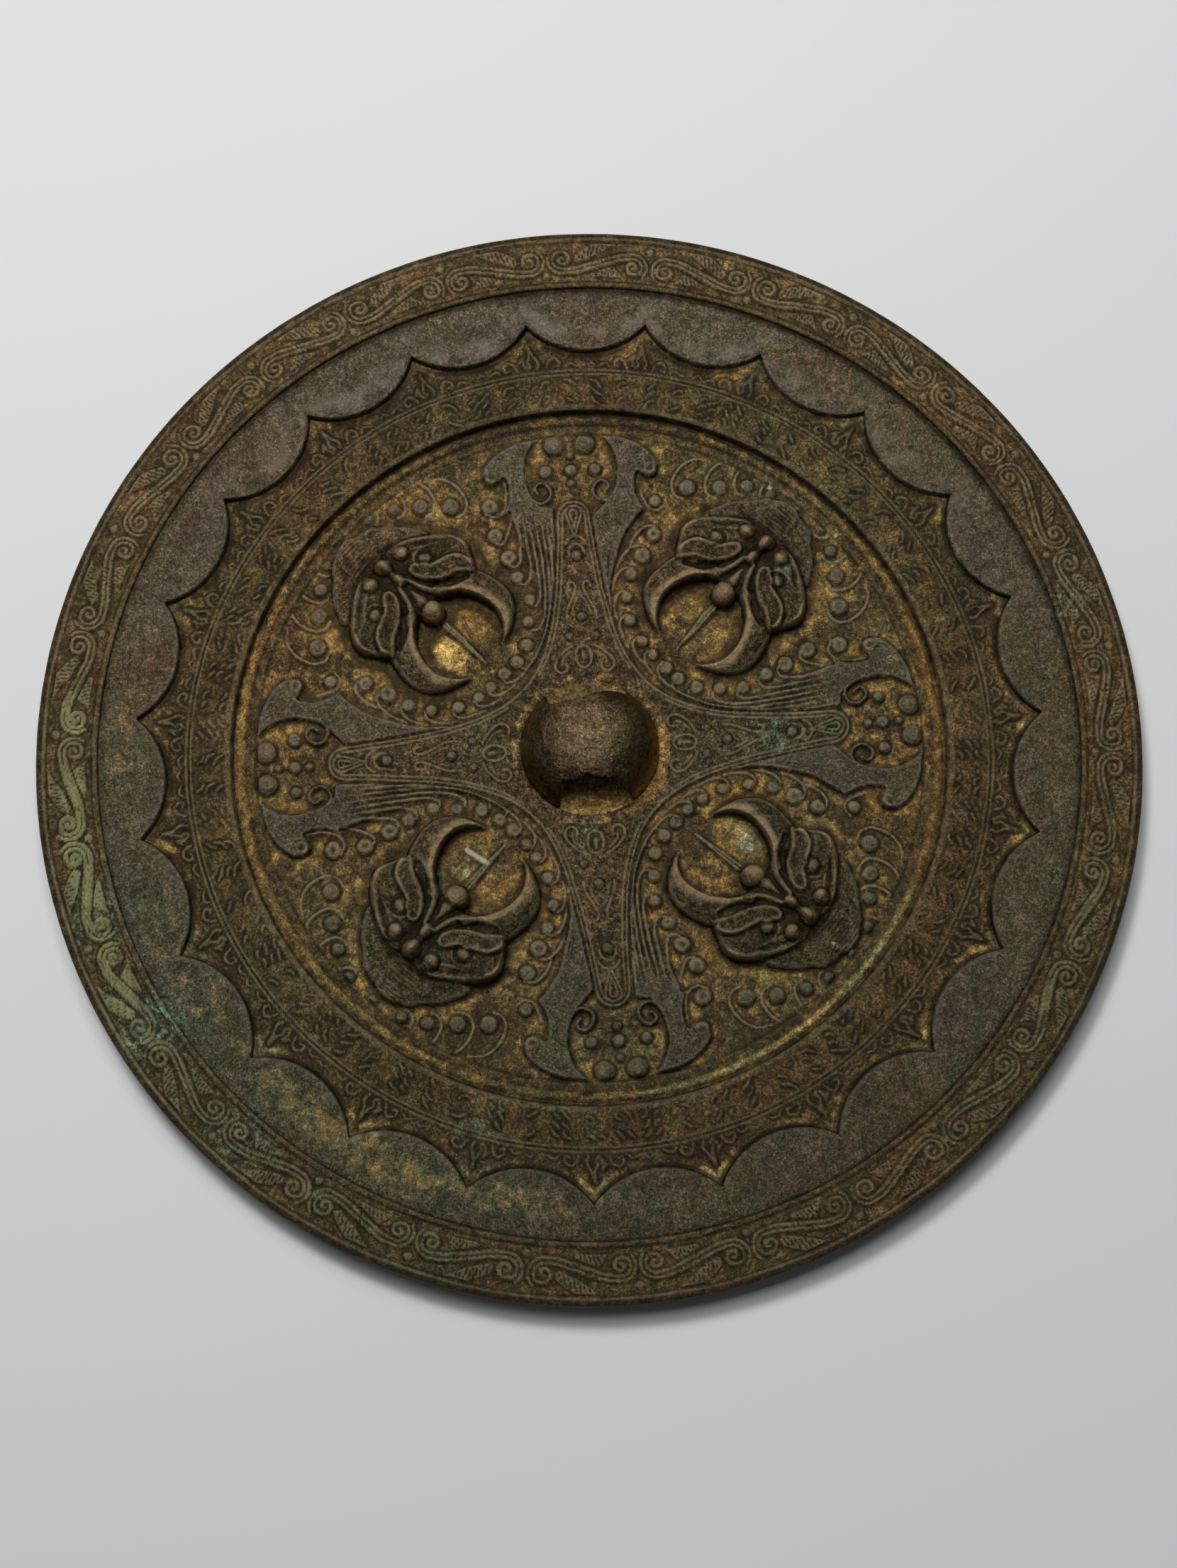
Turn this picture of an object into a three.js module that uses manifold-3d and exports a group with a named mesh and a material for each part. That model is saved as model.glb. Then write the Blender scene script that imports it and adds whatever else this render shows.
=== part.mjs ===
// Ancient cast bronze mirror, lying on its reflecting face with the decorated back upward.
// Millimetres, +Z up. The origin is the middle of the flat spot that the mirror rests on.
// The four arms of the quatrefoil point along +X, +Y, -X and -Y, and a beast's head fills each corner.
// The knob's cord hole runs along Y.
import * as THREE from 'three';
import { mergeVertices } from 'three/addons/utils/BufferGeometryUtils.js';
import Module from 'manifold-3d';

const wasm = await Module();
wasm.setup();

// ---- Driving sizes ----
const RADIUS = 80;
const ROUND_SIDES = 64;

const FACE_FLAT_RADIUS = 40; // the reflecting face is flat here and rises slightly outside it
const FACE_RISE = 0.75;
const EDGE_BEVEL = 0.5;

// Heights of the steps on the back
const RIM_TOP = 5.2;
const BAND_FLOOR = 4.9;
const ARC_TOP = 4.1;
const LEGEND_TOP = 2.9;
const FIELD_TOP = 1.6;
const STAR_TOP = 2.05;
const WING_TOP = 2.5;
const ROOT = 0.9; // relief starts this high, inside the plate

// Radii of the steps on the back
const LIP_INNER = 78.7;
const ARC_OUTER = 70.9;
const LEGEND_INNER = 52.6;

// Linked arcs
const ARC_COUNT = 23;
const ARC_APEX = 66.1;
const ARC_MIDDLE = 61.6;
const ARC_STEPS = 4;
const ARC_TURN = 79.3; // degrees from +X to the first apex

// Rim scrolls
const SCROLL_COUNT = 30;
const SCROLL_TURN = 73.7; // degrees from +X to the middle of the first scroll
const SCROLL_HALF = 4.05; // degrees from the middle of a scroll to each of its spirals
const SCROLL_IN = 74.3;
const SCROLL_OUT = 75.7;
const SCROLL_CURL = 1.8;
const SCROLL_WIDTH = 1.1;
const SCROLL_TOP = RIM_TOP + 0.1;

// Quatrefoil: its edge is the curve |x * y| = STAR_WAIST squared, with round tips
const STAR_WAIST = 9.33;
const STAR_TIP = 38;
const STAR_STEPS = 5;
const BAY_MIDDLE = 43; // round bay at the outer end of each arm
const BAY_RADIUS = 7.4;

// Knob
const KNOB_RADIUS = 9.8;
const KNOB_HEIGHT = 9.2;
const HOLE_WIDTH = 7.8;
const HOLE_HEIGHT = 5.4;
const HOLE_SILL = 2.1; // height of the hole's floor

const DEGREE = Math.PI / 180;

// ---- Geometry helpers ----
// A closed geometry as a solid, turned about the mirror's axis by degrees.
function solid(geometry, degrees = 0) {
  const plain = geometry.clone().rotateZ(degrees * DEGREE);
  for (const name of Object.keys(plain.attributes)) {
    if (name !== 'position') plain.deleteAttribute(name);
  }
  const merged = mergeVertices(plain, 1e-4);
  const corners = [];
  for (let i = 0; i < merged.index.count; i += 3) {
    const [a, b, c] = [merged.index.getX(i), merged.index.getX(i + 1), merged.index.getX(i + 2)];
    if (a !== b && b !== c && c !== a) corners.push(a, b, c);
  }
  return new wasm.Manifold(new wasm.Mesh({
    numProp: 3,
    vertProperties: new Float32Array(merged.attributes.position.array),
    triVerts: new Uint32Array(corners),
  }));
}

function addAll(body, geometries, degrees = 0) {
  return geometries.reduce((sum, geometry) => sum.add(solid(geometry, degrees)), body);
}

function polar(radius, degrees) {
  return new THREE.Vector2(radius * Math.cos(degrees * DEGREE), radius * Math.sin(degrees * DEGREE));
}

// A flat plateau: an outline raised from inside the plate to the height top.
function plateau(outline, top, bottom = ROOT, holes = []) {
  const shape = new THREE.Shape(outline);
  shape.holes = holes.map((points) => new THREE.Path(points));
  const geometry = new THREE.ExtrudeGeometry(shape, { depth: top - bottom, bevelEnabled: false });
  return geometry.translate(0, 0, bottom);
}

// A flat boss with sloping sides.
function boss(x, y, radius, top, sides = 6) {
  const geometry = new THREE.CylinderGeometry(radius * 0.72, radius, top - ROOT, sides);
  return geometry.rotateX(Math.PI / 2).translate(x, y, (top + ROOT) / 2);
}

// A round bead: a low ellipsoid, half sunk at the height level.
function bead(x, y, radius, rise, level = FIELD_TOP, sides = 6) {
  const geometry = new THREE.SphereGeometry(1, sides, 4);
  return geometry.rotateX(Math.PI / 2).scale(radius, radius, rise).translate(x, y, level);
}

// A small pointed stud.
function stud(x, y, radius, rise, level = FIELD_TOP) {
  const geometry = new THREE.SphereGeometry(1, 6, 2);
  return geometry.rotateX(Math.PI / 2).scale(radius, radius, rise).translate(x, y, level);
}

// A ridge with a sharp crest along a curve; halfWidth and crest are functions of 0 to 1.
function ridge(curve, steps, halfWidth, crest, bottom = ROOT) {
  const positions = [];
  const faces = [];
  for (let i = 0; i <= steps; i += 1) {
    const t = i / steps;
    const at = curve.getPoint(t);
    const along = curve.getTangent(t);
    const reach = halfWidth(t);
    positions.push(at.x - along.y * reach, at.y + along.x * reach, bottom);
    positions.push(at.x, at.y, crest(t));
    positions.push(at.x + along.y * reach, at.y - along.x * reach, bottom);
    if (i < steps) {
      for (let side = 0; side < 3; side += 1) {
        const near = 3 * i + side;
        const next = 3 * i + ((side + 1) % 3);
        faces.push(near, next, next + 3, near, next + 3, near + 3);
      }
    }
  }
  const last = 3 * steps;
  faces.push(0, 2, 1, last, last + 1, last + 2);
  const geometry = new THREE.BufferGeometry();
  geometry.setAttribute('position', new THREE.Float32BufferAttribute(positions, 3));
  geometry.setIndex(faces);
  return geometry;
}

// A mound: a dome whose plan radius in each direction is reach(angle).
function mound(x, y, reach, profile, sides) {
  const points = profile.map(([across, height]) => new THREE.Vector2(across, height));
  const geometry = new THREE.LatheGeometry(points, sides).rotateX(Math.PI / 2);
  const place = geometry.attributes.position;
  for (let i = 0; i < place.count; i += 1) {
    const scale = reach(Math.atan2(place.getY(i), place.getX(i)));
    place.setXY(i, x + place.getX(i) * scale, y + place.getY(i) * scale);
  }
  return geometry;
}

const taper = (width) => (t) => width * (0.25 + 0.75 * Math.sin(Math.PI * t));

// ---- The plate with its steps ----
function plate() {
  const profile = [
    [0, 0],
    [FACE_FLAT_RADIUS, 0],
    [RADIUS, FACE_RISE],
    [RADIUS, RIM_TOP - EDGE_BEVEL],
    [RADIUS - EDGE_BEVEL, RIM_TOP],
    [LIP_INNER, RIM_TOP],
    [LIP_INNER - 0.2, BAND_FLOOR],
    [ARC_OUTER + 0.2, BAND_FLOOR],
    [ARC_OUTER, LEGEND_TOP],
    [LEGEND_INNER, LEGEND_TOP],
    [LEGEND_INNER - 0.6, FIELD_TOP],
    [0, FIELD_TOP],
  ].map(([radius, height]) => new THREE.Vector2(radius, height));
  return new THREE.LatheGeometry(profile, ROUND_SIDES).rotateX(Math.PI / 2);
}

// The plain raised ring, whose inner edge is a chain of arcs that bulge inward.
function arcRing() {
  const pitch = 360 / ARC_COUNT;
  const halfChord = ARC_APEX * Math.sin(pitch / 2 * DEGREE);
  const sagitta = ARC_APEX * Math.cos(pitch / 2 * DEGREE) - ARC_MIDDLE;
  const arcRadius = (halfChord ** 2 + sagitta ** 2) / (2 * sagitta);
  const halfSweep = Math.asin(halfChord / arcRadius);
  const edge = [];
  for (let arc = 0; arc < ARC_COUNT; arc += 1) {
    const middle = ARC_TURN + (arc + 0.5) * pitch;
    for (let step = 0; step < ARC_STEPS; step += 1) {
      const sweep = halfSweep * (2 * step / ARC_STEPS - 1);
      const inward = ARC_MIDDLE + arcRadius - arcRadius * Math.cos(sweep);
      const point = new THREE.Vector2(inward, arcRadius * Math.sin(sweep));
      edge.push(point.rotateAround(new THREE.Vector2(), middle * DEGREE));
    }
  }
  const outer = [];
  for (let i = 0; i < ROUND_SIDES; i += 1) outer.push(polar(ARC_OUTER + 0.9, 360 * i / ROUND_SIDES));
  return plateau(outer, ARC_TOP, ROOT + 0.6, [edge]);
}

// ---- Rim scrolls: S-shaped stems, each with a spiral at both ends, every second one mirrored ----
function rimScroll(index) {
  const middle = SCROLL_TURN - index * 360 / SCROLL_COUNT;
  const hand = index % 2 === 0 ? 1 : -1;
  const at = (degrees, radius) => polar(radius, middle + hand * degrees);
  const stem = [
    at(SCROLL_HALF + 1.3, SCROLL_IN),
    at(SCROLL_HALF, SCROLL_IN + SCROLL_CURL),
    at(0, (SCROLL_IN + SCROLL_OUT) / 2),
    at(-SCROLL_HALF, SCROLL_OUT - SCROLL_CURL),
    at(-SCROLL_HALF - 1.3, SCROLL_OUT),
  ].map((point) => new THREE.Vector3(point.x, point.y, 0));
  return ridge(new THREE.CatmullRomCurve3(stem), 3, () => SCROLL_WIDTH, () => SCROLL_TOP, BAND_FLOOR - 0.5);
}

// ---- Quatrefoil ----
function star() {
  const outline = [];
  const shoulder = STAR_TIP - 2.4;
  const tipHalf = STAR_WAIST ** 2 / shoulder;
  for (let arm = 0; arm < 4; arm += 1) {
    const side = [];
    for (let i = 0; i < STAR_STEPS; i += 1) {
      const along = STAR_WAIST * (shoulder / STAR_WAIST) ** ((i + 1) / STAR_STEPS);
      side.push(new THREE.Vector2(along, STAR_WAIST ** 2 / along));
    }
    const tip = [new THREE.Vector2(STAR_TIP - 0.7, tipHalf * 0.72), new THREE.Vector2(STAR_TIP, 0)];
    const half = [...side, ...tip];
    const mirrored = half.slice(0, -1).map((point) => new THREE.Vector2(point.x, -point.y));
    const whole = [new THREE.Vector2(STAR_WAIST, -STAR_WAIST), ...mirrored, ...half.reverse()];
    outline.push(...whole.map((point) => point.rotateAround(new THREE.Vector2(), arm * 90 * DEGREE)));
  }
  return plateau(outline, STAR_TOP);
}

// One wing beside the arm along +X, on the side +1 or -1. It hooks round the bay at its outer end.
function wing(side) {
  const edge = new THREE.SplineCurve([
    new THREE.Vector2(48.2, 3.6),
    new THREE.Vector2(46.6, 9.4),
    new THREE.Vector2(43.4, 12.9),
    new THREE.Vector2(41.2, 11.8),
    new THREE.Vector2(39.6, 10.0),
    new THREE.Vector2(36.4, 10.4),
    new THREE.Vector2(33.4, 8.6),
    new THREE.Vector2(28.8, 6.0),
    new THREE.Vector2(20.0, 4.9),
  ]).getPoints(12);
  const panelSide = [20, 24, 29, 36].map((x) => new THREE.Vector2(x, STAR_WAIST ** 2 / x + 0.2));
  const outline = [...panelSide, new THREE.Vector2(46, 2.6), ...edge];
  return plateau(outline.map((point) => new THREE.Vector2(point.x, side * point.y)), WING_TOP);
}

function bay() {
  const well = new THREE.CylinderGeometry(BAY_RADIUS, BAY_RADIUS, 8, 18);
  return well.rotateX(Math.PI / 2).translate(BAY_MIDDLE, 0, FIELD_TOP + 4);
}

// Beads in the bay and the curls that close it, for the arm along +X.
function bayBeads() {
  const curl = BAY_RADIUS * 0.62;
  return [
    bead(46.9, 2.6, 1.7, 1.2),
    bead(46.9, -2.6, 1.7, 1.2),
    stud(43, 0, 1.15, 1.0),
    stud(40.7, 0, 0.85, 0.9),
    stud(43, 3.9, 1.1, 1.0),
    stud(43, -3.9, 1.1, 1.0),
    stud(39.2, curl, 1.5, WING_TOP - FIELD_TOP),
    stud(39.2, -curl, 1.5, WING_TOP - FIELD_TOP),
  ];
}

// Petals and beads on the arm's panel.
function panelBeads() {
  const petal = (from, to) => ridge(
    new THREE.LineCurve3(new THREE.Vector3(from.x, from.y, 0), new THREE.Vector3(to.x, to.y, 0)),
    2,
    taper(1.1),
    () => STAR_TOP + 0.35,
  );
  return [
    petal(polar(30.8, 0), polar(37.4, 0)),
    petal(polar(9, 12), polar(14, 13)),
    petal(polar(9, -12), polar(14, -13)),
    stud(28, 0, 1.0, 0.8, STAR_TOP),
    stud(19.6, 0, 1.0, 0.7, STAR_TOP),
  ];
}

// ---- Beast's head, drawn looking out along +X, chin outward ----
const HEAD_BASE = FIELD_TOP;
const FACE_MIDDLE = 37;
const EYE_LINE = 36.6;

// Plan outline of the face about its middle: wide at the ears, narrow between cheek and chin.
function faceReach(angle) {
  const bulge = (size, middle, spread) => size * Math.exp(-(((Math.abs(angle) / DEGREE - middle) / spread) ** 2));
  return 8.9 + bulge(2.6, 0, 20) + bulge(3.6, 113, 27) - bulge(1.9, 180, 28);
}

function beastFace() {
  const dome = [[0, ROOT - 0.2], [1, ROOT - 0.2], [0.94, HEAD_BASE + 1.3], [0.6, HEAD_BASE + 2.3],
    [0, HEAD_BASE + 2.9]];
  return mound(FACE_MIDDLE, 0, faceReach, dome, 18);
}

// One horn: a thick crescent that curves round the hollow above the forehead.
class HornCurve extends THREE.Curve {
  constructor(side) {
    super();
    this.side = side;
  }

  getPoint(t, target = new THREE.Vector3()) {
    const turn = (14 + 142 * t) * DEGREE;
    return target.set(25.2 + 6.4 * Math.cos(turn), this.side * 8.3 * Math.sin(turn), 0);
  }
}

function horn(side) {
  const width = (t) => 2.6 * (0.2 + 0.8 * Math.sin(Math.PI * (0.15 + 0.8 * t)));
  const crest = (t) => HEAD_BASE + 1.4 + 1.7 * Math.sin(Math.PI * (0.1 + 0.8 * t));
  return ridge(new HornCurve(side), 6, width, crest);
}

function brow(side) {
  const curve = new THREE.CubicBezierCurve3(
    new THREE.Vector3(29.8, side * 9.4, 0),
    new THREE.Vector3(34.0, side * 9.6, 0),
    new THREE.Vector3(32.0, side * 4.2, 0),
    new THREE.Vector3(36.4, side * 2.2, 0),
  );
  return ridge(curve, 3, taper(1.7), (t) => HEAD_BASE + 3.1 + 0.5 * Math.sin(Math.PI * t), HEAD_BASE);
}

function beast() {
  const bridge = new THREE.LineCurve3(new THREE.Vector3(32.6, 0, 0), new THREE.Vector3(41.5, 0, 0));
  const hollowRidge = new THREE.LineCurve3(new THREE.Vector3(20.5, 0, 0), new THREE.Vector3(30.5, 0, 0));
  const beard = new THREE.LineCurve3(new THREE.Vector3(42, 0, 0), new THREE.Vector3(47.6, 0, 0));
  const pieces = [
    beastFace(),
    ridge(hollowRidge, 1, () => 0.6, () => HEAD_BASE + 1.0),
    ridge(bridge, 1, () => 1.6, (t) => HEAD_BASE + 3.3 + 0.5 * t, HEAD_BASE + 1),
    ridge(beard, 1, (t) => 3.4 - 1.2 * t, (t) => HEAD_BASE + 2.8 - 0.8 * t),
    bead(31.2, 0, 1.9, 1.4, HEAD_BASE + 2.2),
    bead(40.6, 0, 1.7, 1.3, HEAD_BASE + 3),
  ];
  for (const side of [-1, 1]) {
    pieces.push(
      horn(side),
      brow(side),
      stud(EYE_LINE, side * 5.3, 1.2, 0.9, HEAD_BASE + 2.6),
      stud(39.8, side * 3, 1.2, 0.9, HEAD_BASE + 2.7),
    );
  }
  return pieces;
}

// The discs that ring a beast's head, and the row of beads below its chin.
function lobeDiscs() {
  const discs = [];
  const discCount = 11;
  for (let i = 0; i < discCount; i += 1) {
    const turn = (180 + (i - (discCount - 1) / 2) * 23) * DEGREE;
    const x = 32 + 15.2 * Math.cos(turn);
    const y = 14.2 * Math.sin(turn);
    discs.push(boss(x, y, 1.45, FIELD_TOP + 0.9));
  }
  for (const side of [-1, 1]) {
    for (let i = 0; i < 4; i += 1) {
      const turn = side * (7 + i * 6.4);
      const place = polar(47.0 - 0.4 * i * i, turn);
      discs.push(stud(place.x, place.y, 1.25, 1.1));
    }
  }
  return discs;
}

// ---- Knob with its cord hole ----
function knob() {
  const dome = new THREE.SphereGeometry(1, 24, 10);
  dome.rotateX(Math.PI / 2).scale(KNOB_RADIUS, KNOB_RADIUS, KNOB_HEIGHT).translate(0, 0, FIELD_TOP);
  const below = new THREE.BoxGeometry(30, 30, 20).translate(0, 0, ROOT - 10);
  return solid(dome).subtract(solid(below));
}

// The cord hole: straight sides under an arched top, running along Y.
function cordHole() {
  const spring = HOLE_SILL + HOLE_HEIGHT * 0.5;
  const half = HOLE_WIDTH / 2;
  const section = [new THREE.Vector2(-half, HOLE_SILL), new THREE.Vector2(half, HOLE_SILL)];
  for (let i = 0; i <= 8; i += 1) {
    const turn = Math.PI * i / 8;
    section.push(new THREE.Vector2(half * Math.cos(turn), spring + HOLE_HEIGHT * 0.5 * Math.sin(turn)));
  }
  const length = 2 * KNOB_RADIUS + 4;
  const geometry = new THREE.ExtrudeGeometry(new THREE.Shape(section), { depth: length, bevelEnabled: false });
  return geometry.rotateX(Math.PI / 2).translate(0, length / 2, 0);
}

// ---- Assembly ----
function mirrorBody() {
  let body = solid(plate()).add(solid(arcRing())).add(solid(star()));
  for (let turn = 0; turn < 360; turn += 90) {
    body = body.add(addAll(solid(wing(1), turn), [wing(-1)], turn).subtract(solid(bay(), turn)));
    body = addAll(body, [...bayBeads(), ...panelBeads()], turn);
    body = addAll(body, [...beast(), ...lobeDiscs()], turn + 45);
  }
  for (let i = 0; i < SCROLL_COUNT; i += 1) body = body.add(solid(rimScroll(i)));
  return body.add(knob()).subtract(solid(cordHole()));
}

function meshFrom(body, name, material) {
  const result = body.getMesh();
  const geometry = new THREE.BufferGeometry();
  const positions = [];
  for (let i = 0; i < result.vertProperties.length; i += result.numProp) {
    positions.push(...result.vertProperties.slice(i, i + 3));
  }
  geometry.setAttribute('position', new THREE.Float32BufferAttribute(positions, 3));
  geometry.setIndex(Array.from(result.triVerts));
  geometry.computeVertexNormals();
  const mesh = new THREE.Mesh(geometry, material);
  mesh.name = name;
  return mesh;
}

const bronze = new THREE.MeshStandardMaterial({ color: 0x5a4d36, roughness: 0.55, metalness: 0.6 });
const part = new THREE.Group();
part.add(meshFrom(mirrorBody(), 'mirror', bronze));

export default part;
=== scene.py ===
"""An ancient bronze mirror, decorated back up: four horned beasts round a pierced knob, an inscription band,
twenty-three linked arcs and a scrolled rim."""
import math

import bmesh
import bpy
import numpy as np
from mathutils import Matrix, Vector


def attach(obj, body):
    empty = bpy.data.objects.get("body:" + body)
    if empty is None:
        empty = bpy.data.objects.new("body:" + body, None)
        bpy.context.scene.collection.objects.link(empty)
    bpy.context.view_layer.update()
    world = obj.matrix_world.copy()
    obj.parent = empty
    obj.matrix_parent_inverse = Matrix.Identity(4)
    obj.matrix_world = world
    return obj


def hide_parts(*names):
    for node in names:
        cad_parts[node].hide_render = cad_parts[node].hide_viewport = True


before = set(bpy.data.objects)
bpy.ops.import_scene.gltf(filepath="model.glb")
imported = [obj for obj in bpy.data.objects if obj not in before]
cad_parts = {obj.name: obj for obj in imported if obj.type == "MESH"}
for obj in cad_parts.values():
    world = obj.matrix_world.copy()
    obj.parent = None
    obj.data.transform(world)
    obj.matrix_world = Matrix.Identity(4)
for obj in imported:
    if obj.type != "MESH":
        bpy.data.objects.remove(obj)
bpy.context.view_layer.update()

MM = 0.001


# ---- sizes in millimetres ----
RADIUS = 80.0
RIM_TOP = 5.2
BAND_FLOOR = 4.9
ARC_TOP = 4.1
LEGEND_TOP = 2.9
FIELD_TOP = 1.6
STAR_TOP = 2.05
WING_TOP = 2.5
WING_RISE = WING_TOP - FIELD_TOP
UNDERSIDE = 1.0         # where the closed pieces of the relief end, inside the plate

BEAD_MIDDLE = 50.9      # the round bead at the foot of the recess wall
BEAD_HALF = 0.8
BEAD_HEIGHT = 0.42
WALL_FOOT = 51.75       # the recess wall, from its foot to its top
WALL_HEAD = 52.4
LEGEND_FOOT = 52.02     # where the inscription band's mesh meets the field's
STEP_FOOT = 70.95       # the step from the arcs up to the rim
STEP_HEAD = 71.25
TROUGH_START = 72.0     # the sunk band of the rim, which holds the scroll
TROUGH_END = 78.7
KNOB_RADIUS = 10.15
KNOB_FOOT = 1.85
KNOB_TOP = 10.75

ARC_COUNT = 23
ARC_APEX = 66.1
ARC_MIDDLE = 61.6
ARC_TURN = 79.3

SCROLL_COUNT = 30
SCROLL_TURN = 73.7
HATCH_HALF = 0.17

STAR_WAIST = 9.33
STAR_TIP = 38.0
PANEL_STEPS = 26
BAY_MIDDLE = 43.0
BAY_RADIUS = 7.4
BAND_RADIUS = 75.0      # the rim band is drawn unrolled at this radius
LEGEND_RADIUS = 58.0    # and the inscription band at this one
MARKS_MIDDLE = 55.2
LEAF_FOOT = 59.2
LEGEND_LINE = 58.3      # the double line between the marks and the leaves


# ---- plan helpers ----
def degrees_of(x, y):
    return np.degrees(np.arctan2(y, x)) % 360


def plan(radius, degrees):
    turn = np.radians(degrees)
    return radius * np.cos(turn), radius * np.sin(turn)


def turned(points, degrees):
    c, s = math.cos(math.radians(degrees)), math.sin(math.radians(degrees))
    points = np.asarray(points, float)
    return points @ np.array([[c, s], [-s, c]])


def smoothstep(low, high, value):
    t = np.clip((value - low) / (high - low), 0, 1)
    return t * t * (3 - 2 * t)


def spline(points, steps=8):
    """A smooth curve through the points (Catmull-Rom)."""
    points = np.asarray(points, float)
    padded = np.vstack([2 * points[0] - points[1], points, 2 * points[-1] - points[-2]])
    t = np.linspace(0, 1, steps, endpoint=False)[:, None]
    pieces = []
    for a, b, c, d in zip(padded, padded[1:], padded[2:], padded[3:]):
        squared, cubed = 2 * a - 5 * b + 4 * c - d, 3 * b - a - 3 * c + d
        pieces.append(0.5 * (2 * b + (c - a) * t + squared * t**2 + cubed * t**3))
    return np.vstack(pieces + [points[-1:]])


def arc(centre, radius, start, end, steps=16, squash=1.0):
    turn = np.radians(np.linspace(start, end, steps))
    return np.stack([centre[0] + radius * np.cos(turn), centre[1] + radius * squash * np.sin(turn)], -1)


def spiral(centre, outer, inner, start, sweep, steps=28):
    """A curl that winds from the outer radius in to the inner one, in degrees."""
    t = np.linspace(0, 1, steps)
    turn = np.radians(start + sweep * t)
    radius = outer + (inner - outer) * t**0.8
    return np.stack([centre[0] + radius * np.cos(turn), centre[1] + radius * np.sin(turn)], -1)


def noise(x, y, size, seed):
    """Smooth noise from -1 to 1 with features about size millimetres across."""
    lattice = np.random.default_rng(seed).uniform(-1, 1, (64, 64))
    u, v = x / size, y / size
    i, j = np.floor(u).astype(int), np.floor(v).astype(int)
    fu, fv = u - i, v - j
    fu, fv = fu * fu * (3 - 2 * fu), fv * fv * (3 - 2 * fv)
    near = lattice[i % 64, j % 64] * (1 - fu) + lattice[(i + 1) % 64, j % 64] * fu
    far = lattice[i % 64, (j + 1) % 64] * (1 - fu) + lattice[(i + 1) % 64, (j + 1) % 64] * fu
    return near * (1 - fv) + far * fv


def cloud(x, y, size, seed, octaves=3):
    return sum(noise(x, y, size / 2**k, seed + k) / 2**k for k in range(octaves)) / (2 - 2.0 ** (1 - octaves))


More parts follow.
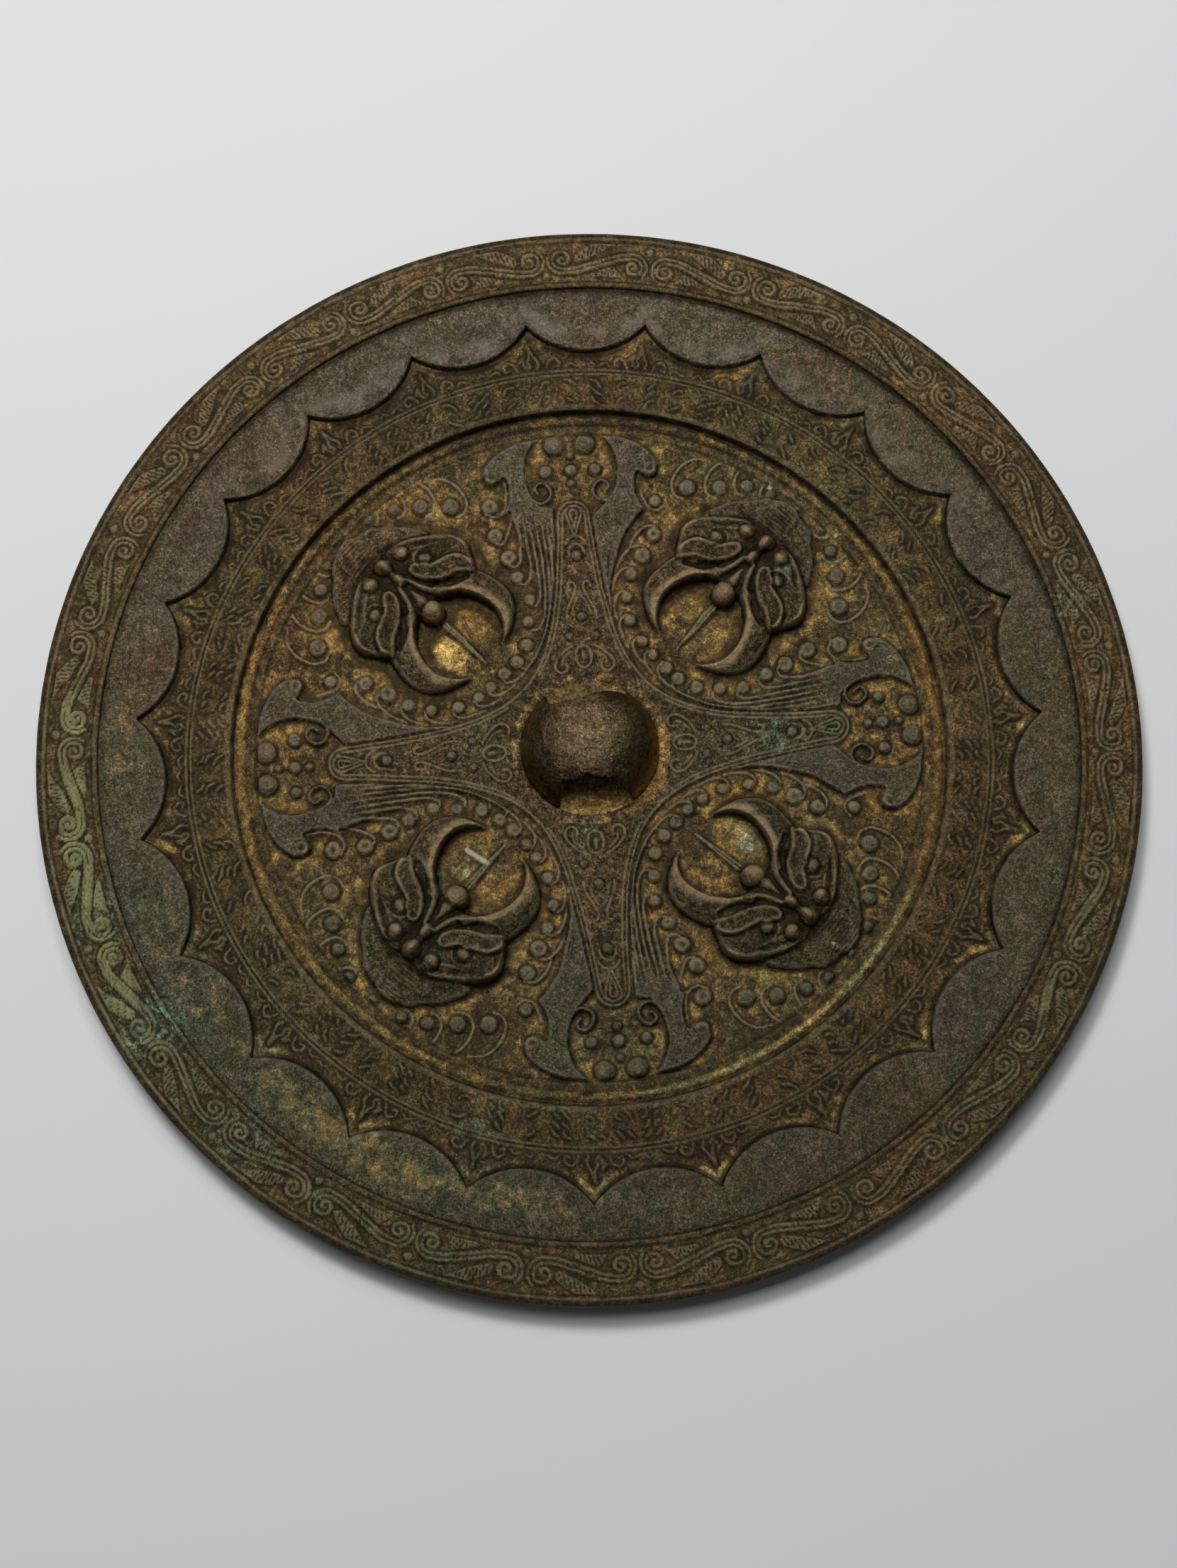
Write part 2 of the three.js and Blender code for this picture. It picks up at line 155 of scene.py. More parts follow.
# ---- a height map that shapes are drawn on ----
class Canvas:
    """Heights in millimetres over plan coordinates a and b. A wrapped canvas repeats along a."""

    def __init__(self, a_range, b_range, step, level, wrap=False):
        self.step, self.wrap = step, wrap
        self.a0, self.b0 = a_range[0], b_range[0]
        self.columns = int(round((a_range[1] - a_range[0]) / step)) + (0 if wrap else 1)
        self.rows = int(round((b_range[1] - b_range[0]) / step)) + 1
        if wrap:
            self.step_a = (a_range[1] - a_range[0]) / self.columns
        else:
            self.step_a = step
        self.height = np.full((self.rows, self.columns), float(level), np.float32)

    def grid(self):
        a = self.a0 + self.step_a * np.arange(self.columns)
        b = self.b0 + self.step * np.arange(self.rows)
        return np.meshgrid(a, b)

    def window(self, low, high):
        i0 = int(math.floor((low[0] - self.a0) / self.step_a))
        i1 = int(math.ceil((high[0] - self.a0) / self.step_a)) + 1
        j0 = max(int(math.floor((low[1] - self.b0) / self.step)), 0)
        j1 = min(int(math.ceil((high[1] - self.b0) / self.step)) + 1, self.rows)
        if not self.wrap:
            i0, i1 = max(i0, 0), min(i1, self.columns)
        index = np.arange(i0, i1)
        a, b = np.meshgrid(self.a0 + self.step_a * index, self.b0 + self.step * np.arange(j0, j1))
        return np.ix_(np.arange(j0, j1), index % self.columns), a, b

    def put(self, place, shape, mode, level=0.0):
        """Add a shape to the heights, or set it over a level where it stands out above them."""
        old = self.height[place]
        if mode == "add":
            new = old + shape
        else:
            new = np.where(shape > 0, np.maximum(old, level + shape), old)
        self.height[place] = new

    def nearest(self, points, reach):
        """Distance to a polyline, how far along it and on which side, in a window around it."""
        points = np.asarray(points, float)
        place, a, b = self.window(points.min(0) - reach, points.max(0) + reach)
        best, along, side = np.full(a.shape, 1e9), np.zeros(a.shape), np.zeros(a.shape)
        lengths = np.hypot(*np.diff(points, axis=0).T)
        total, run = lengths.sum(), 0.0
        for start, end, length in zip(points, points[1:], lengths):
            if length > 1e-9:
                wide = reach + 1.5 * self.step
                low, high = np.minimum(start, end) - wide, np.maximum(start, end) + wide
                i0, i1 = np.searchsorted(a[0], (low[0], high[0]))
                j0, j1 = np.searchsorted(b[:, 0], (low[1], high[1]))
                near = (slice(j0, j1), slice(i0, i1))
                direction = (end - start) / length
                da, db = a[near] - start[0], b[near] - start[1]
                s = np.clip(da * direction[0] + db * direction[1], 0, length)
                da, db = da - s * direction[0], db - s * direction[1]
                distance = np.hypot(da, db)
                closer = distance < best[near]
                best[near] = np.where(closer, distance, best[near])
                along[near] = np.where(closer, (run + s) / total, along[near])
                side[near] = np.where(closer, direction[0] * db - direction[1] * da, side[near])
            run += length
        return place, best, along, side

    def stroke(self, points, half, height, mode="add", level=0.0, ends=(1.0, 1.0)):
        """A ridge along a line, or a groove where height is below zero. ends narrow its start and end."""
        place, distance, along, _ = self.nearest(points, half)
        width = half * np.interp(along, [0, 0.5, 1], [ends[0], 1, ends[1]])
        t = np.clip(distance / np.maximum(width, 1e-3), 0, 1)
        tall = height * np.interp(along, [0, 0.5, 1], [ends[0] ** 0.5, 1, ends[1] ** 0.5])
        self.put(place, tall * (1 - t * t), mode, level)

    def ball(self, centre, radius, height, mode="over", level=0.0, squash=1.0, degrees=0.0, power=0.5):
        """A round boss, or a dip where height is below zero. squash and degrees make it oval and turn it."""
        centre = np.asarray(centre, float)
        reach = radius * max(1, squash)
        place, a, b = self.window(centre - reach, centre + reach)
        local = turned(np.stack([a - centre[0], b - centre[1]], -1), -degrees)
        t = np.clip(1 - (local[..., 0] / radius) ** 2 - (local[..., 1] / (radius * squash)) ** 2, 0, 1)
        self.put(place, height * t**power, mode, level)

    def disc(self, centre, radius, height, level):
        """A low button with a rounded edge."""
        centre = np.asarray(centre, float)
        place, a, b = self.window(centre - radius, centre + radius)
        t = np.clip(np.hypot(a - centre[0], b - centre[1]) / radius, 0, 1)
        self.put(place, height * (1 - t**3.2) ** 0.6, "over", level)

    def inside(self, outline, reach=0.0):
        """Signed distance to a closed outline: above zero inside it."""
        outline = np.asarray(outline, float)
        closed = np.vstack([outline, outline[:1]])
        place, distance, _, _ = self.nearest(closed, reach)
        _, a, b = self.window(closed.min(0) - reach, closed.max(0) + reach)
        within = np.zeros(a.shape, bool)
        for (a0, b0), (a1, b1) in zip(closed, closed[1:]):
            if b0 == b1:
                continue
            crosses = ((b0 > b) != (b1 > b)) & (a < (a1 - a0) * (b - b0) / (b1 - b0) + a0)
            within ^= crosses
        return place, np.where(within, 1, -1) * np.minimum(distance, 99.0), a, b

    def plateau(self, outline, height, level, edge):
        """A flat raised patch with a soft edge."""
        place, depth, _, _ = self.inside(outline, edge)
        shape = height * smoothstep(-edge / 2, edge / 2, depth)
        self.put(place, np.where(depth > -edge / 2, shape, 0), "over", level)

    def blurred(self, size):
        """The heights smoothed over size millimetres."""
        rows, columns = self.height.shape
        margin = int(4 * size / self.step)
        pad = 0 if self.wrap else margin
        padded = np.pad(self.height, ((margin, margin), (pad, pad)), mode="edge")
        fb = np.fft.fftfreq(padded.shape[0], self.step)[:, None]
        fa = np.fft.rfftfreq(padded.shape[1], self.step_a)[None, :]
        spread = np.exp(-2 * (np.pi * size) ** 2 * (fa**2 + fb**2))
        soft = np.fft.irfft2(np.fft.rfft2(padded) * spread, padded.shape)
        return soft[margin:, pad:][:rows, :columns].astype(np.float32)

    def sample(self, layer, a, b):
        """Values of a layer of this canvas at plan coordinates, between its points."""
        u = (a - self.a0) / self.step_a
        v = np.clip((b - self.b0) / self.step, 0, self.rows - 1.001)
        if not self.wrap:
            u = np.clip(u, 0, self.columns - 1.001)
        i, j = np.floor(u).astype(int), np.floor(v).astype(int)
        fu, fv = u - i, v - j
        i, following = i % self.columns, (i + 1) % self.columns
        low = layer[j, i] * (1 - fu) + layer[j, following] * fu
        high = layer[j + 1, i] * (1 - fu) + layer[j + 1, following] * fu
        return low * (1 - fv) + high * fv


class Pen:
    """Draws on a canvas in the frame of one arm or lobe, mirrored across its middle line where side is -1."""

    def __init__(self, canvas, turn, shift=(0, 0), side=1):
        self.canvas, self.turn, self.shift, self.side = canvas, turn, shift, side

    def at(self, points):
        return turned(np.asarray(points, float) * [1, self.side] + self.shift, self.turn)

    def line(self, points, half, height, *over, **settings):
        self.canvas.stroke(self.at(points), half, height, *over, **settings)

    def curve(self, points, half, height, *over, steps=6, **settings):
        self.line(spline(points, steps), half, height, *over, **settings)

    def ball(self, centre, radius, height, *over, **settings):
        self.canvas.ball(self.at(centre), radius, height, *over, degrees=self.turn, **settings)

    def disc(self, centre, radius, height, level):
        self.canvas.disc(self.at(centre), radius, height, level)


# ---- field relief ----
def mirrored(points):
    return np.asarray(points, float) * [1, -1]


def panel_edge(inset=0.0):
    """One side of an arm's panel with its round end, from the centre outward, at y above zero."""
    along = np.geomspace(STAR_WAIST, STAR_TIP - 2.4, PANEL_STEPS)
    half = np.stack([along, STAR_WAIST**2 / along - inset], -1)
    tip = arc((half[-1, 0], 0), half[-1, 1], 80, 0, 6)
    return np.vstack([half, tip])


def draw_star(canvas):
    """The quatrefoil: ground inside the curve |x * y| = waist squared, with a double line at its edge."""
    x, y = canvas.grid()
    inside = (STAR_WAIST**2 - np.abs(x * y)) / np.maximum(np.hypot(x, y), STAR_WAIST)
    low, high = np.minimum(np.abs(x), np.abs(y)), np.maximum(np.abs(x), np.abs(y))
    end = panel_edge()[PANEL_STEPS - 1]
    inside = np.where(high > end[0], end[1] - np.hypot(high - end[0], low), inside)
    canvas.height += ((STAR_TOP - FIELD_TOP) * smoothstep(-0.2, 0.2, inside)).astype(np.float32)
    for arm in range(4):
        for inset, half, height in ((0.0, 0.30, 0.34), (0.75, 0.22, 0.20)):
            side = panel_edge(inset)[4:] if inset else panel_edge()
            canvas.stroke(turned(np.vstack([side, mirrored(side)[::-1][1:]]), 90 * arm), half, height)


def wing(side):
    """Outline of a wing beside an arm, above its middle line: side 1 is the plumed one, -1 the plain one."""
    outer = spline([(48.5, 4.4), (48.1, 6.8), (46.9, 9.8), (45.3, 12.0), (43.6, 13.1), (42.1, 12.9),
                    (41.3, 11.9), (41.7, 10.9), (42.2, 10.0), (40.6, 9.5), (38.6, 9.6), (36.8, 10.3)], 5)
    if side > 0:
        inner = spline([(36.9, 9.5), (36.9, 7.0), (36.9, 4.6), (37.4, 2.9)], 4)
        foot = np.empty((0, 2))
    else:
        inner = spline([(36.2, 10.6), (35.0, 9.4), (32.4, 7.4), (29.0, 6.0),
                        (25.4, 4.9), (22.6, 4.6), (20.4, 4.6)], 5)
        x = np.linspace(20.4, STAR_TIP - 2.6, 10)
        foot = np.stack([x, STAR_WAIST**2 / x + 0.3], -1)
    bay = arc((BAY_MIDDLE, 0), BAY_RADIUS, 142, 40, 16)
    return np.vstack([outer, inner, foot, bay])


# stems of the plumed side, each from its disc out to the wing
PLUMES = (
    [(32.0, 11.9), (32.2, 10.9), (33.6, 10.1), (35.4, 9.5), (37.6, 9.2)],
    [(28.6, 10.3), (28.5, 9.3), (29.4, 8.5), (32.0, 8.3), (36.8, 8.6)],
    [(25.7, 8.8), (25.8, 7.8), (27.2, 7.1), (31.0, 7.2), (36.6, 7.7)],
    [(22.3, 7.2), (22.5, 6.4), (24.4, 5.9), (29.0, 6.1), (36.4, 6.8)],
    [(18.6, 7.4), (18.9, 6.3), (21.6, 5.3), (28.0, 5.2), (36.4, 5.9)],
    [(15.0, 7.9), (15.3, 6.9), (19.0, 5.2), (26.0, 4.4), (36.4, 5.0)],
    [(12.7, 9.2), (13.0, 8.3), (17.0, 5.7), (24.0, 4.1), (30.0, 3.8), (36.6, 4.2)],
    [(11.6, 12.6), (10.7, 11.6), (11.3, 9.8), (14.2, 7.3), (19.0, 5.2), (24.0, 4.2)],
)


def draw_wing(pen):
    """The raised wing on one side of an arm."""
    outline = wing(pen.side)
    pen.canvas.plateau(pen.at(outline), WING_RISE, FIELD_TOP, 0.4)
    pen.line(outline[:54] if pen.side > 0 else outline, 0.22, 0.12)
    pen.disc((42.4, 12.0), 1.1, 0.28, WING_TOP)


def draw_plumes(pen):
    """A raised bed beside an arm, scored by the stems that sweep out to the wing."""
    outer = spline([(38.6, 9.3), (37.0, 9.5), (33.0, 8.5), (28.6, 7.2), (22.4, 5.8), (16.4, 6.3)], 5)
    inner = [(18.6, 4.9), (22.0, 4.2), (27.0, 3.45), (32.0, 3.0), (37.0, 2.9), (37.4, 4.0), (37.8, 6.4)]
    place, depth, a, b = pen.canvas.inside(pen.at(np.vstack([outer, inner])), 0.6)
    outward = a * math.cos(math.radians(pen.turn)) + b * math.sin(math.radians(pen.turn))
    top = np.interp(outward, [20, 29, 33.5, 36.9], [0.2, 0.42, 0.6, WING_RISE])
    pen.canvas.put(place, np.where(depth > -0.3, top * smoothstep(-0.3, 0.3, depth), 0), "over", FIELD_TOP)
    for stem in PLUMES:
        pen.curve(stem, 0.3, 0.42, ends=(0.85, 0.12), steps=8)
    for k in range(4):
        stem = [(37.6, 3.5 + 0.5 * k), (31.0, 3.2 + 0.42 * k),
                (25.0, 3.75 + 0.34 * k), (19.4, 4.9 + 0.22 * k)]
        pen.curve(stem, 0.2, 0.18, ends=(0.1, 0.4), steps=7)
    hook = [(42.0, 10.1), (39.4, 9.9), (37.2, 10.4), (36.3, 11.8), (36.8, 13.3)]
    pen.curve(hook, 0.34, 0.55, "over", FIELD_TOP + 0.05, ends=(0.8, 0.7))
    pen.disc((37.9, 12.5), 1.35, 0.75, FIELD_TOP)


def draw_plain_side(pen):
    """A few edge lines at the foot of the other wing."""
    for k in range(3):
        groove = [(35.2 - 1.1 * k, -9.0 + 0.75 * k), (31.4, -6.85 + 0.55 * k),
                  (27.0, -5.2 + 0.35 * k), (21.4, -4.6 + 0.1 * k)]
        pen.curve(groove, 0.17, -0.2, ends=(0.4, 0.5), steps=7)
    pen.disc((37.3, -12.4), 1.05, 0.75, FIELD_TOP)
    hook = [(39.3, -10.4), (38.2, -10.6), (36.4, -11.4), (36.0, -12.6), (36.6, -13.6)]
    pen.curve(hook, 0.27, 0.36, steps=5)


def draw_bay(pen, rng):
    """Half of the heart at an arm's end, with its balls."""
    curl = [(48.6, 4.7), (47.3, 5.9), (45.4, 6.9), (43.2, 7.3), (41.2, 7.05), (39.4, 6.5), (38.2, 5.6),
            (37.9, 4.5), (38.6, 3.4), (39.8, 3.2), (40.9, 4.0), (41.0, 5.0), (40.2, 5.6), (39.4, 5.1)]
    pen.curve(curl, 0.4, WING_RISE + 0.1, "over", FIELD_TOP, ends=(0.8, 0.8))
    pen.ball((47.1, 2.35), 1.6, 1.2, "over", FIELD_TOP, power=0.6)
    spot = pen.at((42.9, 3.9)) + rng.normal(0, 0.1, 2)
    pen.canvas.ball(spot, rng.uniform(0.8, 1.1), 0.85, "over", FIELD_TOP)


def draw_panel_half(pen):
    """Half of the lyre and scroll in an arm's panel."""
    lyre = [(24.9, 1.65), (25.5, 1.35), (25.3, 0.75), (24.3, 0.65), (22.6, 1.35), (21.0, 2.1), (19.8, 2.25)]
    pen.curve(lyre, 0.2, 0.3)
    pen.curve([(23.0, 0.5), (21.8, 1.1), (20.6, 1.35)], 0.17, 0.2)
    pen.ball((17.1, 1.95), 0.58, 0.5, "over", STAR_TOP)
    scroll = [(15.7, 1.5), (15.0, 2.7), (13.7, 4.0), (12.4, 4.3), (11.6, 3.5), (12.0, 2.6), (12.9, 2.6)]
    pen.curve(scroll, 0.24, 0.36, ends=(0.6, 0.8))
    pen.curve([(14.8, 2.0), (13.7, 3.1), (12.9, 3.3)], 0.17, 0.2)
    pen.curve([(15.6, 0.15), (15.2, 0.85), (14.0, 1.15), (12.8, 0.85), (12.3, 0.2)], 0.2, 0.3)


def draw_arm(canvas, turn, rng):
    pen, other = Pen(canvas, turn), Pen(canvas, turn, side=-1)
    draw_wing(other)
    draw_wing(pen)
    draw_plumes(pen)
    draw_plain_side(pen)
    draw_bay(other, rng)
    draw_bay(pen, rng)
    for x, radius in ((45.4, 0.62), (43.0, 0.95), (40.9, 0.65)):
        pen.ball((x, 0), radius, 0.8, "over", FIELD_TOP)
    # the panel, from its tip inward
    for half, low in ((1.15, 32.4), (0.55, 33.6)):
        loop = np.vstack([arc((36.1, 0), half, -100, 100, 12), [[low, 0]]])
        pen.line(np.vstack([loop, loop[:1]]), 0.2, 0.26)
    pen.line(arc((30.9, 0), 1.7, -72, 72, 12, squash=0.95), 0.2, 0.26)
    pen.line(arc((30.0, 0), 1.35, -100, 100, 12, squash=0.85), 0.2, 0.22)
    pen.ball((29.6, 0), 0.8, 0.6, "over", STAR_TOP)
    draw_panel_half(other)
    draw_panel_half(pen)
    pen.ball((20.1, 0), 0.75, 0.6, "over", STAR_TOP)
    pen.line(arc((20.1, 0), 1.1, 0, 360, 18), 0.16, 0.14)
    pen.ball((14.2, 0), 0.75, 0.3, "add", squash=0.45)


# discs beside an arm (x, y, radius): the plumed side and the plain side
PLUMED_DISCS = (
    (33.2, 12.1, 1.3), (29.8, 10.4, 1.3), (26.8, 9.0, 1.1), (23.3, 7.5, 1.0), (19.7, 7.9, 1.0),
    (16.2, 8.4, 1.1), (13.8, 9.9, 1.1), (11.9, 11.7, 1.1),
)
PLAIN_DISCS = (
    (32.1, 11.8, 1.2), (29.0, 9.8, 1.35), (26.1, 8.1, 1.05), (22.7, 7.1, 0.95), (18.9, 7.3, 1.0),
    (15.8, 8.7, 0.95), (13.7, 10.1, 0.95),
)
COMMA_TAIL = ((-1.05, 0.1), (-0.85, 1.05), (-0.1, 1.75), (1.2, 2.1), (2.7, 2.05), (4.4, 1.7))


def draw_discs(canvas, turn, rng):
    """Round discs along the lobes on both sides of an arm, with comma tails on the plain side."""
    for x, y, radius in PLUMED_DISCS:
        spot = np.array([x, y]) + rng.normal(0, 0.1, 2)
        canvas.disc(turned(spot, turn), radius, 0.68 + 0.12 * rng.random(), FIELD_TOP)
    spots = np.array(PLAIN_DISCS)[:, :2]
    ahead = np.gradient(spots, axis=0)
    ahead /= np.hypot(*ahead.T)[:, None]
    for (x, y, radius), (along, over) in zip(PLAIN_DISCS, ahead):
        spot = np.array([x, y]) + rng.normal(0, 0.1, 2)
        tail = np.array(COMMA_TAIL) * (radius / 1.1)
        tail = spline(spot + tail[:, :1] * [along, over] + tail[:, 1:] * [-over, along], 5)
        tail[:, 1] = np.maximum(tail[:, 1], STAR_WAIST**2 / tail[:, 0] + 0.8) * -1
        canvas.stroke(turned(tail, turn), 0.34, 0.45, ends=(0.8, 0.2))
        canvas.disc(turned(spot * [1, -1], turn), radius, 0.68 + 0.12 * rng.random(), FIELD_TOP)


# balls between a head and the gutter (x, y, radius)
OUTER_BALLS = (
    (40.2, 15.1, 1.35), (43.1, 11.6, 1.25), (45.7, 8.4, 1.1), (47.4, 4.9, 0.85), (47.9, -4.3, 0.85),
    (46.1, -7.8, 1.0), (43.6, -11.2, 1.25), (40.4, -14.3, 1.35),
)
BALL_HOOK = ((5.0, 0.6), (3.6, 2.2), (1.4, 2.75), (-0.9, 2.1), (-1.9, 0.7), (-1.6, -0.6))


def draw_outer_balls(canvas, turn, rng):
    for x, y, radius in OUTER_BALLS:
        spot = np.array([x, y]) + rng.normal(0, 0.15, 2)
        hook = np.array(BALL_HOOK) * [1, np.sign(y)] * (radius / 1.25)
        canvas.stroke(turned(spline(spot + hook, 7), turn), 0.3, 0.38, ends=(0.35, 0.7))
        canvas.ball(turned(spot, turn), radius, 0.95, "over", FIELD_TOP, power=0.6)
    canvas.ball(turned((48.2, 0.4), turn), 0.75, 0.8, "over", FIELD_TOP, power=0.6)


# ---- the beasts, in the frame of their lobe: x outward, y to its left ----
HORN_RIDGE = [
    (33.0, 2.2), (31.4, 3.5), (29.8, 4.9), (28.0, 5.9), (26.0, 6.5), (24.0, 6.5), (22.2, 5.8), (20.9, 4.6),
    (20.2, 3.5),
]
HORN_OUTER = [
    (33.4, 7.6), (31.0, 9.4), (28.6, 10.1), (26.2, 10.4), (24.0, 10.0), (22.2, 8.7), (20.9, 6.8), (20.2, 5.0),
    (20.0, 3.5),
]
FACE_SIDE = [
    (42.0, 0.8), (42.3, 2.4), (42.0, 4.2), (41.0, 6.4), (39.6, 8.4), (38.0, 10.1), (36.2, 11.3), (34.4, 11.5),
    (32.8, 10.6), (31.2, 9.6), (30.2, 7.0), (30.8, 4.4), (31.6, 2.2),
]
MANE_SIDE = [(46.8, 4.2), (45.2, 5.6), (43.8, 7.2), (41.8, 8.6), (39.4, 9.4), (38.0, 7.0)]
BROW_LINE = [(37.5, 2.5), (36.1, 3.2), (34.7, 4.3), (33.9, 6.0), (33.1, 7.6), (31.9, 8.6), (30.6, 9.0)]


def face_mound(canvas, outline, height, crown, reach):
    """A cushion of casting: a wall at its outline, then a rounded rise as far in as reach."""
    wall = 0.8
    place, depth, _, _ = canvas.inside(outline, reach)
    swell = 1 - (1 - np.clip(depth / reach, 0, 1)) ** 2
    mound = height * smoothstep(-wall / 2, wall / 2, depth) + crown * swell
    canvas.put(place, np.where(depth > -wall / 2, mound, 0), "over", FIELD_TOP)


def draw_horn(pen):
    """A broad horn: a sharp ridge round the hollow, sloping out and down to a soft edge."""
    ridge, outer = spline(HORN_RIDGE, 12), spline(HORN_OUTER, 12)
    place, depth, _, _ = pen.canvas.inside(pen.at(np.vstack([ridge, outer[::-1]])), 0.7)
    from_lines = []
    for line in (ridge, outer):
        where, distance, run, _ = pen.canvas.nearest(pen.at(line), 6.0)
        part = np.ix_(place[0][:, 0] - where[0][0, 0], place[1][0] - where[1][0, 0])
        from_lines.append((distance[part], run[part]))
    (level, along), (edge, _) = from_lines
    across = level / np.maximum(level + edge, 1e-3)
    tall = 0.6 + 2.4 * np.sqrt(1 - np.clip(along, 0, 1) ** 2.4)
    slope = 1 - 0.14 * across - 0.5 * across**3
    body = tall * slope
    for near, far, low, high in ((edge, level, -0.35, 0.45), (level, edge, -0.3, 0.3)):
        body = body * smoothstep(low, high, np.where(near < far, np.where(depth > 0, near, -near), 1.0))
    pen.canvas.put(place, np.where(depth > -0.3, body, 0), "over", FIELD_TOP)
    pen.line(ridge, 0.27, 0.24, ends=(0.8, 0.5))


def draw_brow(pen):
    """An S-shaped leaf with a raised rim."""
    line = spline(BROW_LINE, 6)
    t = np.linspace(0, 1, len(line))
    half = np.interp(t, [0, 0.05, 0.12, 0.4, 0.7, 0.88, 0.96, 1], [0.4, 0.8, 1.05, 1.3, 1.35, 1.0, 0.6, 0.15])
    outline = np.vstack([offset_line(line, half[:, None]), offset_line(line, -half[:, None])[::-1]])
    place, depth, _, _ = pen.canvas.inside(pen.at(outline), 0.5)
    pen.canvas.put(place, 0.75 * smoothstep(-0.3, 0.25, depth) - 0.22 * smoothstep(0.35, 0.9, depth), "add")
    pen.line(np.vstack([outline, outline[:1]]), 0.28, 0.22)


def draw_beast(canvas, turn, shift):
    """A horned head seen from above: mane, face, horns and their hollow, brows, eyes, nose and beard."""
    pen = Pen(canvas, turn, shift)
    both = Pen(canvas, turn, shift, -1), pen
    side = spline(MANE_SIDE, 5)
    crown = spline([(47.9, 2.8), (48.1, 1.0), (47.7, -0.8)], 4)
    mane = np.vstack([side[::-1] + [0, 0.6], crown, mirrored(side) * [1, 0.95]])
    face_mound(canvas, pen.at(mane), 0.75, 0.7, 3.0)
    cheek = spline(FACE_SIDE, 5)
    face_mound(canvas, pen.at(np.vstack([cheek, mirrored(cheek)[::-1]])), 1.75, 1.05, 5.0)
    for half in both:
        draw_horn(half)
    # hollow: a split ridge down the middle
    pen.line([(20.2, 0.2), (24.0, 0.1), (29.6, 0.0)], 0.6, 0.75, "over", FIELD_TOP, ends=(0.3, 1.3))
    pen.line([(21.2, 0.2), (24.0, 0.1), (29.0, 0.0)], 0.2, -0.35, ends=(0.4, 1.0))
    # cheeks, muzzle and the dip between the brows
    for half in both:
        half.ball((36.0, 8.6), 3.8, 0.55, "add", squash=0.9, power=2.0)
        half.ball((39.6, 4.6), 3.0, 0.4, "add", squash=1.2, power=2.0)
        half.ball((32.6, 4.4), 2.6, -0.6, "add", squash=1.1, power=2.0)
        half.ball((38.4, 6.4), 1.9, -0.4, "add", squash=1.3, power=2.0)
    # ridges from the horns to the bridge of the nose
    for half in both:
        half.curve([(30.2, 4.3), (32.0, 2.8), (34.0, 1.6), (36.4, 0.9)], 0.62, 0.85, ends=(0.7, 0.8))
        half.curve([(30.5, 7.4), (31.2, 5.9), (32.6, 4.2), (34.2, 2.9)], 0.8, -0.75, ends=(0.6, 0.3))
        draw_brow(half)
    pen.line([(30.8, 0), (35.0, 0)], 1.0, 1.0, ends=(1.3, 0.15))
    pen.ball((30.8, 0), 2.0, 3.75, "over", FIELD_TOP, squash=0.95, power=0.45)
    # eyes in their sockets, with a lid line
    for half, x, y in ((both[1], 36.4, 6.1), (both[0], 36.9, 5.1)):
        half.ball((x, y), 2.2, -0.4, "add", power=2.0)
        half.ball((x, y), 1.1, 1.05, "add", power=0.8)
        half.line(arc((x, y), 1.65, -100, 60, 12), 0.26, 0.3, ends=(0.5, 0.5))
    # folds of the cheek and the lip line
    for half in both:
        lip = spline([(41.3, 2.6), (41.4, 4.3), (40.4, 6.2), (39.0, 8.0), (37.4, 9.6)], 6)
        half.line(lip, 0.34, 0.26, ends=(0.7, 0.3))
        half.line(lip + [-0.75, -0.15], 0.3, -0.24, ends=(0.6, 0.3))
        half.curve([(39.5, 4.6), (38.7, 6.0), (37.9, 7.6)], 0.32, 0.3, ends=(0.6, 0.3), steps=5)
        half.ball((40.1, 3.3), 1.25, 1.3, "add", power=0.8)
        half.curve([(33.6, 10.6), (35.2, 11.0), (36.8, 10.2)], 0.4, 0.3, ends=(0.3, 0.3), steps=5)
    # nose and bridge
    pen.line([(36.6, 0), (40.8, 0)], 0.75, 0.7)
    pen.ball((37.2, 0), 1.15, 1.15, "add", power=0.8)
    pen.ball((40.5, 0), 1.6, 1.7, "add", squash=0.9, power=0.8)
    # beard: a patch scored by level lines
    patch = [(42.3, 3.6), (44.4, 4.2), (46.4, 3.4), (47.5, 2.0),
             (47.5, 0.0), (46.4, -1.3), (44.4, -1.7), (42.3, -1.5)]
    canvas.plateau(pen.at(spline(patch, 4)), 0.5, FIELD_TOP + 1.1, 0.9)
    for k in range(9):
        x = 42.7 + 0.6 * k
        bend = 0.1 * math.sin(k * 2.1)
        pen.curve([(x - 0.15, -1.4), (x + bend, 1.2), (x - 0.1, 3.5)], 0.2, -0.22, ends=(0.5, 0.5), steps=5)


# how each beast sits off its lobe's middle, from the first lobe round
BEAST_SHIFTS = ((-0.2, 0.2), (0.0, 0.1), (-1.2, 0.1), (-0.3, 0.3))


